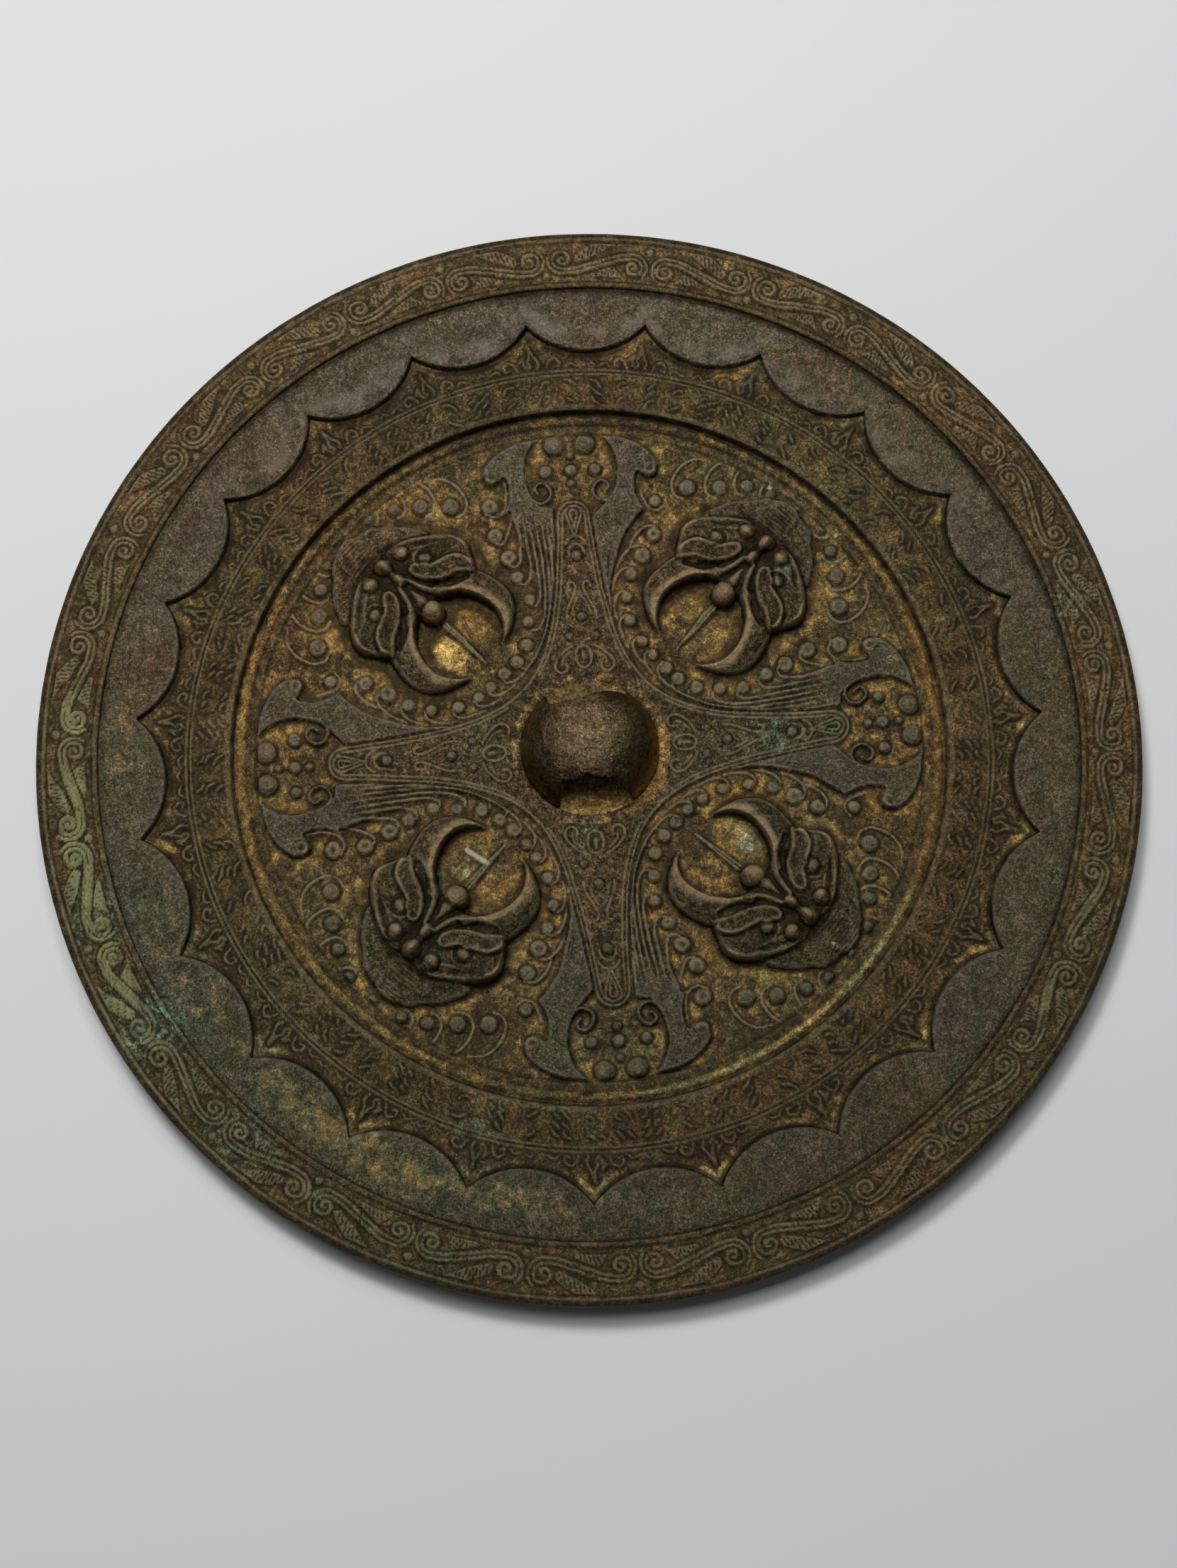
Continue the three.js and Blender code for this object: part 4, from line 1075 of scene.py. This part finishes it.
def build_field(relief, material):
    """The quatrefoil, beasts and gutter in four quarters. Normals follow the heights, so no seam shows."""
    step = 0.2
    inner, outer = 8.2, 52.35
    count = int(outer / step) + 2
    names = ("field_north_east", "field_north_west", "field_south_west", "field_south_east")
    for quarter, name in enumerate(names):
        # heights on a square grid with a spare row on each side, which the slopes need
        i, j = np.meshgrid(np.arange(-1, count + 1), np.arange(-1, count + 1), indexing="ij")
        place = turned(np.stack([i, j], -1) * step, 90 * quarter)
        z, near, wide = field_sample(relief, place[..., 0], place[..., 1])
        slope = np.stack([z[:-2, 1:-1] - z[2:, 1:-1], z[1:-1, :-2] - z[1:-1, 2:]], -1) / (2 * step)
        slope = turned(slope, 90 * quarter)

        # the quads that lie in the ring-shaped quarter, and the points they use
        own = (slice(1, -1), slice(1, -1))
        x, y = i[own] * step, j[own] * step
        middle = np.hypot(x[:-1, :-1] + step / 2, y[:-1, :-1] + step / 2)
        keep = (middle > inner) & (middle < outer)
        used = np.zeros((count, count), bool)
        for di, dj in ((0, 0), (1, 0), (1, 1), (0, 1)):
            used[di:count - 1 + di, dj:count - 1 + dj] |= keep
        index = np.full((count, count), -1)
        index[used] = np.arange(used.sum())
        corners = index[:-1, :-1], index[1:, :-1], index[1:, 1:], index[:-1, 1:]
        faces = np.stack([corner[keep] for corner in corners], -1).tolist()
        x, y = place[own][used].T
        z, near, wide, slope = z[own][used], near[own][used], wide[own][used], slope[used]

        # a wall down from the outline, and the flat underside
        loop = boundary_loop(faces)
        low = list(range(len(x), len(x) + len(loop)))
        skirt = np.stack([x[loop], y[loop], np.full(len(loop), UNDERSIDE)], -1)
        for k in range(len(loop)):
            n = (k + 1) % len(loop)
            faces.append([loop[n], loop[k], low[k], low[n]])
        faces.append(low[::-1])

        masks = masks_for(x, y, z - ground_level(np.hypot(x, y)), near, wide)
        masks = {key: np.concatenate([value, np.zeros(len(loop))]) for key, value in masks.items()}
        piece = new_piece(name, np.vstack([np.stack([x, y, z], -1), skirt]), faces, masks, material)
        normals = np.column_stack([slope, np.ones(len(x))])
        normals = np.vstack([normals, np.tile([0, 0, -1.0], (len(loop), 1))])
        normals /= np.linalg.norm(normals, axis=1)[:, None]
        piece.data.normals_split_custom_set_from_vertices(normals.tolist())


def ring_piece(name, relief, radius, below, low_z, even, material):
    """A closed ring: rows of relief at the radii given, then rows below it at their own radii and heights."""
    columns = radius.shape[1]
    turn = np.broadcast_to(around(columns), radius.shape)
    top = relief.sampled(turn, radius)
    low_x, low_y = plan(below, turn[:len(below)])
    blank = np.zeros(below.shape)
    low = low_x, low_y, low_z + blank, blank, blank
    x, y, z, near, wide = (np.vstack(pair).ravel() for pair in zip(top, low))
    masks = masks_for(x, y, z - relief.ground, near, wide, even)
    faces = loop_quads(len(radius) + len(below), columns, closed=True)[:, [0, 3, 2, 1]].tolist()
    new_piece(name, np.stack([x, y, z], -1), faces, masks, material)


def build_band(material):
    """The inscription band's ground, and the linked arcs that overlap its outer edge."""
    relief = RingRelief(draw_band(), LEGEND_RADIUS, band_base, LEGEND_TOP)
    edge = scallop(around(1656))
    wall = LEGEND_FOOT + np.array([0.0, 0.1, 0.2, 0.3, 0.4])[:, None] + 0 * edge
    start, end = 52.55, edge - 0.36
    ground = start + (end - start) * np.linspace(0, 1, 49)[1:, None]
    radius = np.vstack([wall, ground])
    below = np.vstack([radius[-1:] + 0.25, radius[:1] + 0.3])
    ring_piece("inscription_band", relief, radius, below, np.array([[1.2], [UNDERSIDE]]), 0.0, material)

    wall = edge + np.concatenate([np.linspace(-0.36, 0.2, 7), [0.35, 0.55, 0.8]])[:, None]
    start, end = edge + 0.8, 71.1
    radius = np.vstack([wall, start + (end - start) * np.linspace(0, 1, 18)[1:, None]])
    below = np.vstack([radius[-1:] + 0.2, radius[:1] + 0.15])
    ring_piece("linked_arcs", relief, radius, below, 1.6, 1.0, material)


# the rim's outer edge and underside, as (radius, height)
RIM_EDGE = (
    (79.62, 5.19), (79.82, 5.08), (79.95, 4.86), (79.98, 4.3), (79.97, 3.4), (79.98, 2.4), (79.97, 1.5),
    (79.95, 1.05), (79.85, 0.86), (79.65, 0.78), (76.0, 0.85), (71.5, 1.1),
)


def build_rim(material):
    """The raised rim with its scroll, and its slightly uneven outer edge."""
    relief = RingRelief(draw_rim(), BAND_RADIUS, lambda turn, radius: rim_base(radius), BAND_FLOOR)
    degrees = around(1770)
    top = np.concatenate([np.linspace(STEP_FOOT, STEP_HEAD, 5), np.linspace(71.45, 79.4, 38)])[:, None]
    edge, height = np.array(RIM_EDGE).T[..., None]
    x, y = plan(edge, degrees)
    wave = np.abs(0.05 * cloud(x + 3 * height, y, 5.0, 101))
    below = edge - np.where(edge > 79, wave, 0)
    ring_piece("rim", relief, top + 0 * degrees, below, height, 0.0, material)


# the plain reflecting side from its middle to its edge, and its hidden upper side, as (radius, height)
BACK_OUTLINE = (
    (8, 0), (16, 0), (24, 0), (32, 0), (40, 0), (48, 0.15), (56, 0.3), (64, 0.45), (72, 0.6), (79.6, 0.742),
    (79.6, 0.9), (60, 1.02), (40, 1.02), (20, 1.02),
)


def build_back(material):
    """The plain reflecting side: flat in the middle and rising a little to the edge."""
    columns = 256
    radius, height = np.array(BACK_OUTLINE).T[..., None]
    x, y = plan(radius, around(columns))
    points = np.stack([x, y, height + 0 * x], -1).reshape(-1, 3)
    faces = loop_quads(len(BACK_OUTLINE), columns).tolist()
    centre, cap = len(points), len(points) + 1
    for i in range(columns):
        n = (i + 1) % columns
        faces.append([centre, n, i])
        faces.append([cap, centre - columns + i, centre - columns + n])
    points = np.vstack([points, [[0, 0, 0], [0, 0, BACK_OUTLINE[-1][1]]]])
    new_piece("reflecting_face", points, faces, plain_masks(points[:, 0], points[:, 1]), material)


def loose_form(name, points, faces):
    """An object only for shaping others, with all its faces turned outward."""
    mesh = bpy.data.meshes.new(name)
    mesh.from_pydata(points.tolist(), [], faces)
    working = bmesh.new()
    working.from_mesh(mesh)
    bmesh.ops.recalc_face_normals(working, faces=working.faces)
    working.to_mesh(mesh)
    working.free()
    form = bpy.data.objects.new(name, mesh)
    bpy.context.scene.collection.objects.link(form)
    return form


def knob_dome():
    """The round boss with its underside. Its top leans back a little on its far side."""
    columns, rows = 220, 90
    turn = np.arange(columns) * 2 * math.pi / columns
    t = np.linspace(0, 1, rows)[:, None]
    lift = np.radians(90 * t)
    radius = (KNOB_RADIUS - 0.5 * smoothstep(0, 0.16, t)) * np.cos(lift) ** 0.86
    x, y = radius * np.cos(turn), radius * np.sin(turn)
    z = KNOB_FOOT + (KNOB_TOP - KNOB_FOOT) * np.sin(lift) ** 0.92 + 0 * turn
    z = z - 0.35 * smoothstep(2.0, 9.5, y) * smoothstep(6.0, 10.0, z)
    uneven = 0.10 * cloud(x + 2 * z, y + z, 4.0, 111) + 0.05 * cloud(x + z, y - z, 1.3, 121)
    x, y, z = x * (1 + uneven / 9.8), y * (1 + uneven / 9.8), z + uneven * 0.6

    # the last row is a single point at the top
    top = (rows - 1) * columns
    bottom, skirt = top + 1, top + 2
    low = np.stack([10.1 * np.cos(turn), 10.1 * np.sin(turn), np.full(columns, UNDERSIDE)], -1)
    ends = [[0, 0, z[-1].mean()], [0, 0, UNDERSIDE]]
    points = np.vstack([np.stack([x, y, z], -1)[:-1].reshape(-1, 3), ends, low])
    faces = loop_quads(rows - 1, columns).tolist()
    for i in range(columns):
        n = (i + 1) % columns
        faces.append([top, top - columns + i, top - columns + n])
        faces.append([skirt + i, skirt + n, n, i])
        faces.append([bottom, skirt + n, skirt + i])
    return loose_form("knob_dome", points, faces)


def knob_hole():
    """The cord hole: an arch along Y, wide and ragged at its front mouth, worn to one side at its back one."""
    columns, rows = 44, 60
    loops = []
    for y in np.linspace(-13, 13, rows):
        front, back = smoothstep(2.0, 6.5, -y), smoothstep(3.0, 7.0, y)
        half = 3.9 + 0.5 * front + 0.4 * back + 0.12 * math.sin(y * 1.3)
        worn = 1 + 0.8 * back
        sill, spring, crown = 2.1, 4.6 + 3.2 * front + 3.0 * back, 7.5 + 1.2 * front + 1.9 * back
        turn = np.linspace(0, math.pi, columns - 4)
        rag = 0.16 * noise(turn * 3.2 + 10, np.full(turn.shape, y * 0.35 + 5), 0.5, 131) * (0.4 + front)
        x = half * np.cos(turn) * (1 + rag / 4)
        x = np.where(x > 0, x * worn, x)
        z = spring + (crown - spring) * np.sin(turn).clip(0) ** 0.6 + rag
        z = z + 0.8 * front * np.exp(-((x / 1.8) ** 2)) - 0.35 * back * np.maximum(x, 0)
        x = np.append(x, [-half - 0.3 * front, -half / 3, half / 3, half * worn + 1.6 * front])
        z = np.append(z, [sill] * 4)
        loops.append(np.stack([x - 0.15 * front - 1.7 * back, np.full(columns, y), z], -1))
    faces = loop_quads(rows, columns)[:, ::-1].tolist()
    last = (rows - 1) * columns
    faces += [list(range(columns)), list(range(last, last + columns))[::-1]]
    return loose_form("knob_hole", np.vstack(loops), faces)


def knob_surface():
    """Points, normals and faces of the pierced knob, evenly meshed and a little softened."""
    dome, hole = knob_dome(), knob_hole()
    cut = dome.modifiers.new("hole", "BOOLEAN")
    cut.operation, cut.solver, cut.object = "DIFFERENCE", "EXACT", hole
    remesh = dome.modifiers.new("even", "REMESH")
    remesh.mode, remesh.voxel_size = "VOXEL", 0.21
    soft = dome.modifiers.new("soft", "SMOOTH")
    soft.factor, soft.iterations = 0.5, 3
    evaluated = dome.evaluated_get(bpy.context.evaluated_depsgraph_get())
    shaped = bpy.data.meshes.new_from_object(evaluated)
    points, normals = np.zeros((2, len(shaped.vertices) * 3))
    shaped.vertices.foreach_get("co", points)
    shaped.vertices.foreach_get("normal", normals)
    faces = [list(face.vertices) for face in shaped.polygons]
    bpy.data.objects.remove(dome)
    bpy.data.objects.remove(hole)
    return points.reshape(-1, 3), normals.reshape(-1, 3), faces


def build_knob(material):
    """A round boss with a cord hole through it along Y, worn and ragged at the mouth."""
    points, normals, faces = knob_surface()
    x, y, z = points.T
    grain = 0.035 * cloud(x + 1.7 * z, y + 1.3 * z, 0.9, 141) + 0.02 * cloud(x - z, y + 2 * z, 0.4, 151)
    points = points + normals * grain[:, None]

    height = np.clip((z - 2.0) / 8.5, 0, 1)
    # hollow measures made up for the knob, which paint shade at its foot
    near = 0.16 * (1 - smoothstep(0.0, 0.10, height))
    wide = 0.5 * (1 - smoothstep(0.0, 0.14, height)) - 0.3 * smoothstep(0.3, 1, height)
    masks = masks_for(x, y, z - 1.9, near, wide, 1.0)

    # earth and green lie on the sill of the hole, most at its front, and earth at the knob's foot. The pale
    # soil at the front is partly painted light on a floor the lamps leave in shade, and the back of the sill
    # gets painted shade.
    sill = smoothstep(0.5, 0.8, normals[:, 2]) * (1 - smoothstep(2.3, 2.9, z))
    front = smoothstep(-2, -6, y)
    for mask, amount in (("earth", 0.12 + 0.7 * front), ("green", 0.5), ("pale", 0.5 * front)):
        masks[mask] = np.maximum(masks[mask], amount * sill)
    for mask in ("shade_and_grime", "even"):
        masks[mask] = masks[mask] * (1 - sill)
    masks["shade_and_grime"] = np.maximum(masks["shade_and_grime"], 0.55 * sill * (1 - front))
    foot = (1 - smoothstep(0.0, 0.5, height)) * np.exp(-((x - 6.5) ** 2 + (y + 7.0) ** 2) / 30)
    masks["earth"] = np.maximum(masks["earth"], foot * 1.4).clip(0, 1)
    new_piece("knob", points, faces, masks, material)


# ---- materials ----
class Nodes:
    """Short names for building a material's nodes."""

    def __init__(self, name):
        self.material = bpy.data.materials.new(name)
        self.material.use_nodes = True
        self.tree = self.material.node_tree
        self.shader = next(node for node in self.tree.nodes if node.type == "BSDF_PRINCIPLED")
        self.place = self.add("ShaderNodeTexCoord").outputs["Object"]

    def add(self, kind, **settings):
        node = self.tree.nodes.new(kind)
        for key, value in settings.items():
            setattr(node, key, value)
        return node

    def join(self, source, target):
        if isinstance(source, (int, float, tuple)):
            target.default_value = source
        else:
            self.tree.links.new(source, target)

    def noise(self, size, detail=4, roughness=0.6, seed=0.0):
        """Noise whose features are about size millimetres across."""
        node = self.add("ShaderNodeTexNoise", noise_dimensions="4D")
        self.join(self.place, node.inputs["Vector"])
        values = {"W": seed, "Scale": 1000 / size, "Detail": detail, "Roughness": roughness}
        for socket, value in values.items():
            node.inputs[socket].default_value = value
        return node.outputs["Fac"]

    def mask(self, name):
        return self.add("ShaderNodeAttribute", attribute_name=name, attribute_type="GEOMETRY").outputs["Fac"]

    def math(self, operation, a, b=0.0, clamp=False):
        node = self.add("ShaderNodeMath", operation=operation, use_clamp=clamp)
        self.join(a, node.inputs[0])
        self.join(b, node.inputs[1])
        return node.outputs[0]

    def plus(self, a, b, clamp=False):
        return self.math("ADD", a, b, clamp)

    def times(self, a, b, clamp=False):
        return self.math("MULTIPLY", a, b, clamp)

    def swing(self, value, amount):
        """How far a value lies from 0.5, times an amount."""
        return self.times(self.math("SUBTRACT", value, 0.5), amount)

    def step(self, value, low, high, to_low=0.0, to_high=1.0):
        """value spread from low..high onto to_low..to_high, with soft ends."""
        node = self.add("ShaderNodeMapRange", interpolation_type="SMOOTHSTEP")
        for socket, number in zip(node.inputs[:5], (value, low, high, to_low, to_high)):
            self.join(number, socket)
        return node.outputs[0]

    def mix(self, amount, a, b, blend="MIX"):
        node = self.add("ShaderNodeMix", data_type="RGBA", blend_type=blend)
        self.join(amount, node.inputs[0])
        for value, socket in ((a, node.inputs[6]), (b, node.inputs[7])):
            self.join(value + (1,) if isinstance(value, tuple) else value, socket)
        return node.outputs[2]

    def bump(self, height, strength, distance):
        node = self.add("ShaderNodeBump")
        node.inputs["Strength"].default_value = strength
        node.inputs["Distance"].default_value = distance * MM
        self.join(height, node.inputs["Height"])
        return node.outputs["Normal"]


# colours, as linear red, green and blue: each surface from dark to light in three steps
FILM = ((0.027, 0.018, 0.0080), (0.042, 0.0275, 0.0115), (0.062, 0.041, 0.0155))
METAL = ((0.033, 0.0225, 0.0108), (0.050, 0.0365, 0.0185), (0.062, 0.0465, 0.0245))
PLAIN = ((0.052, 0.037, 0.0275), (0.058, 0.052, 0.027), (0.082, 0.067, 0.045))
RUST = (0.105, 0.046, 0.018)
GREEN_LOW, GREEN_HIGH = (0.060, 0.062, 0.026), (0.042, 0.055, 0.028)
SOIL_DARK, SOIL_LIGHT = (0.088, 0.051, 0.014), (0.165, 0.095, 0.026)
SOIL_GREEN, SOIL_RUST = (0.100, 0.097, 0.034), (0.155, 0.064, 0.017)
SOIL_PALE, SOIL_PALE_GREEN = (0.350, 0.222, 0.066), (0.165, 0.170, 0.080)
TURQUOISE = (0.090, 0.185, 0.130)
SPECK = (0.190, 0.168, 0.128)
# colours of worn metal with painted highlights
(WORN_HIGHLIGHT, WORN_GREEN_HIGHLIGHT, WORN_PLAIN_HIGHLIGHT) = ((0.215, 0.163, 0.094), (0.160, 0.165, 0.094), (0.185, 0.158, 0.128))
WORN_CREST_HIGHLIGHT = (0.330, 0.235, 0.125)
# painted shade, near black, in hollows and under walls
SHADE_BLACK = (0.006, 0.004, 0.002)
PALE_CRUST = (0.215, 0.220, 0.100)
CHALK = (0.37, 0.315, 0.22)


def bronze(name, polish=0.0, shade=(1.0, 1.0, 1.0)):
    """Old dark bronze: grey-brown metal, a brown film and ochre earth on low ground, rust, worn crests with
    painted highlights, painted shade.
    """
    n = Nodes(name)
    broad = n.noise(13, 4, 0.55, 1.0)
    patch = n.noise(4.2, 5, 0.62, 2.0)
    blotch = n.noise(1.9, 5, 0.68, 3.0)
    fine = n.noise(0.95, 5, 0.74, 4.0)
    grain = n.noise(0.42, 4, 0.8, 5.0)
    pits = n.noise(0.6, 4, 0.78, 6.0)
    dust = n.noise(0.2, 3, 0.75, 7.0)
    even, raised, green, warm = n.mask("even"), n.mask("raised"), n.mask("green"), n.mask("warm")

    def layered(shades, broad_end, patch_end):
        tone = n.mix(n.step(broad, 0.38, broad_end), shades[0], shades[1])
        return n.mix(n.step(patch, 0.40, patch_end), tone, shades[2])

    colour = n.mix(raised, layered(FILM, 0.62, 0.64), layered(METAL, 0.62, 0.64))
    colour = n.mix(even, colour, layered(PLAIN, 0.60, 0.66))
    colour = n.mix(n.times(warm, n.step(blotch, 0.36, 0.6, 0.25, 0.85)), colour, RUST)
    patina = n.mix(raised, GREEN_LOW, GREEN_HIGH)
    colour = n.mix(n.times(green, n.step(blotch, 0.62, 0.38, 0.1, 0.75)), colour, patina)

    # earth, ragged where its mask is weak
    soil = n.mix(n.step(blotch, 0.38, 0.62), SOIL_DARK, SOIL_LIGHT)
    soil = n.mix(n.times(green, 0.6), soil, SOIL_GREEN)
    soil = n.mix(n.times(warm, 0.6), soil, SOIL_RUST)
    pale = n.times(n.mask("pale"), n.step(fine, 0.30, 0.48, 0.55, 1.0))
    soil = n.mix(pale, soil, n.mix(green, SOIL_PALE, SOIL_PALE_GREEN))
    ragged = n.plus(n.plus(n.times(fine, 0.35), n.times(patch, 0.55)), n.times(blotch, 0.55))
    amount = n.plus(n.mask("earth"), n.times(n.math("SUBTRACT", ragged, 0.725), 1.9))
    earth = n.times(n.step(amount, 0.10, 0.75), n.step(n.mask("earth"), 0.02, 0.2), clamp=True)
    colour = n.mix(earth, colour, soil)
    colour = n.mix(n.times(n.mask("teal"), n.step(fine, 0.40, 0.64), clamp=True), colour, TURQUOISE)

    # grain: each spot lighter or darker than its neighbours, most on bare metal
    depth = n.math("SUBTRACT", n.step(raised, 0.0, 1.0, 0.95, 1.05), n.times(earth, 0.18))
    mottle = n.times(n.plus(n.swing(fine, 9.0), n.swing(blotch, 3.0)), n.step(even, 0.0, 1.0, 1.0, 0.45))
    small = n.times(n.plus(n.swing(grain, 9.5), n.swing(dust, 9.0)), n.step(even, 0.0, 1.0, 1.0, 0.78))
    mottle = n.math("POWER", 2.0, n.times(n.plus(mottle, small), depth))
    colour = n.mix(1.0, colour, n.math("MINIMUM", mottle, 3.6), "MULTIPLY")
    speck = n.times(n.step(grain, 0.60, 0.66), n.step(raised, 0.0, 1.0, 0.35, 0.6))
    colour = n.mix(speck, colour, SPECK)

    # wear with painted highlights, painted shade, and pale crust
    bright = n.mix(even, n.mix(green, WORN_HIGHLIGHT, WORN_GREEN_HIGHLIGHT), WORN_PLAIN_HIGHLIGHT)
    bright = n.mix(n.mask("lit_worn_crest"), bright, WORN_CREST_HIGHLIGHT)
    colour = n.mix(n.times(n.mask("wear_and_highlight"), n.step(fine, 0.34, 0.56, 0.35, 0.9)), colour, bright)
    colour = n.mix(n.times(n.mask("shade_and_grime"), n.step(blotch, 0.28, 0.66, 1.0, 0.72)), colour, SHADE_BLACK)
    colour = n.mix(n.times(n.mask("crust"), n.step(fine, 0.32, 0.50, 0.15, 0.9)), colour, PALE_CRUST)
    colour = n.mix(1.0, colour, shade, "MULTIPLY")
    colour = n.mix(1.0, colour, n.mask("tone"), "MULTIPLY")
    colour = n.mix(n.mask("white"), colour, CHALK)
    n.join(colour, n.shader.inputs["Base Color"])

    rough = n.step(blotch, 0.35, 0.65, 0.33 - 0.07 * polish, 0.56 - 0.22 * polish)
    rough = n.plus(n.plus(rough, n.times(earth, 0.32)), n.times(green, 0.08), clamp=True)
    n.join(rough, n.shader.inputs["Roughness"])
    bare = n.times(n.step(earth, 0.0, 0.5, 1.0, 0.0), n.step(raised, 0.0, 1.0, 0.4, 0.7 + 0.2 * polish))
    n.join(bare, n.shader.inputs["Metallic"])
    n.shader.inputs["Specular Tint"].default_value = (1.0, 0.8, 0.52, 1)
    n.shader.inputs["IOR"].default_value = 1.45
    n.shader.inputs["Specular IOR Level"].default_value = 0.45
    height = n.plus(n.plus(n.times(grain, 0.6), n.times(pits, 1.0)), n.times(blotch, 0.9))
    n.join(n.bump(height, 1.0, 0.32 - 0.18 * polish), n.shader.inputs["Normal"])
    return n.material


def backdrop(name):
    """Pale paper, with painted light: brighter on its far side, towards the lamps."""
    n = Nodes(name)
    along = n.add("ShaderNodeSeparateXYZ")
    n.join(n.place, along.inputs[0])
    shade = n.mix(n.step(along.outputs["Y"], -0.13, 0.16), (0.465, 0.465, 0.465), (0.510, 0.520, 0.517))
    shade = n.mix(n.math("MULTIPLY", n.noise(60, 3, 0.5, 9.0), 0.05), shade, (0.5, 0.5, 0.5))
    n.join(shade, n.shader.inputs["Base Color"])
    n.shader.inputs["Roughness"].default_value = 0.8
    return n.material


# ---- floor, camera and lights ----
# the camera: its turns in degrees, its place in radii of the mirror
LEAN = -4.5             # how far it is turned round Z
TILT = 76.53            # how far down it looks
ROLL = 1.13
CAMERA_AWAY, CAMERA_ASIDE, CAMERA_ABOVE = 4.611, -0.00243, -0.0744
FOCAL_LENGTH = 58.5895


def aim(obj, place, target):
    obj.location = place
    obj.rotation_euler = (Vector(target) - Vector(place)).to_track_quat("-Z", "Y").to_euler()


def area_light(name, place, target, size, power, colour):
    light = bpy.data.lights.new(name, "AREA")
    light.shape, light.size, light.size_y = "RECTANGLE", size[0], size[1]
    light.energy, light.color = power, colour
    lamp = bpy.data.objects.new(name, light)
    bpy.context.scene.collection.objects.link(lamp)
    aim(lamp, place, target)
    return lamp


def build_floor():
    mesh = bpy.data.meshes.new("floor")
    mesh.from_pydata([(x, y, -0.0002) for x, y in ((-4, -4), (4, -4), (4, 4), (-4, 4))], [], [(0, 1, 2, 3)])
    mesh.materials.append(backdrop("pale_paper"))
    floor = bpy.data.objects.new("floor", mesh)
    bpy.context.scene.collection.objects.link(floor)


def build_lights():
    world = bpy.data.worlds.new("studio")
    world.use_nodes = True
    background = world.node_tree.nodes["Background"]
    background.inputs["Color"].default_value = (0.96, 0.98, 1.0, 1)
    background.inputs["Strength"].default_value = 0.09
    bpy.context.scene.world = world
    bpy.context.scene.view_settings.view_transform = "Standard"
    swing = Matrix.Rotation(math.radians(LEAN), 3, "Z")
    area_light("key", swing @ Vector((-0.18, 0.30, 0.68)), (0, 0, 0), (0.16, 0.12), 2.9, (1.0, 0.99, 0.97))
    area_light("fill", swing @ Vector((-0.10, 0.30, 0.85)), (0, 0, 0), (0.6, 0.5), 7.3, (0.98, 0.99, 1.0))


def build_camera():
    tilt, roll = math.radians(TILT), math.radians(ROLL)
    forward = Vector((0, math.cos(tilt), -math.sin(tilt)))
    right, up = Vector((1, 0, 0)), Vector((0, math.sin(tilt), math.cos(tilt)))
    across = right * math.cos(roll) + up * math.sin(roll)
    upward = -right * math.sin(roll) + up * math.cos(roll)
    place = CAMERA_ASIDE * across + CAMERA_ABOVE * upward - CAMERA_AWAY * forward
    place = place * RADIUS + Vector((0, 0, RIM_TOP))
    swing = Matrix.Rotation(math.radians(LEAN), 3, "Z")
    lens = bpy.data.cameras.new("camera")
    lens.sensor_width, lens.lens = 36, FOCAL_LENGTH
    lens.clip_start, lens.clip_end = 0.01, 20
    camera = bpy.data.objects.new("camera", lens)
    bpy.context.scene.collection.objects.link(camera)
    turn = Matrix((swing @ across, swing @ upward, -(swing @ forward))).transposed()
    camera.matrix_world = Matrix.Translation(swing @ place * MM) @ turn.to_4x4()
    bpy.context.scene.camera = camera


old_bronze = bronze("old_bronze")
build_field(Relief(draw_field()), old_bronze)
build_band(old_bronze)
build_rim(old_bronze)
build_knob(bronze("knob_bronze", 0.8, (0.95, 0.82, 0.66)))
build_back(bronze("face_bronze", 0.6))
build_floor()
build_lights()
build_camera()
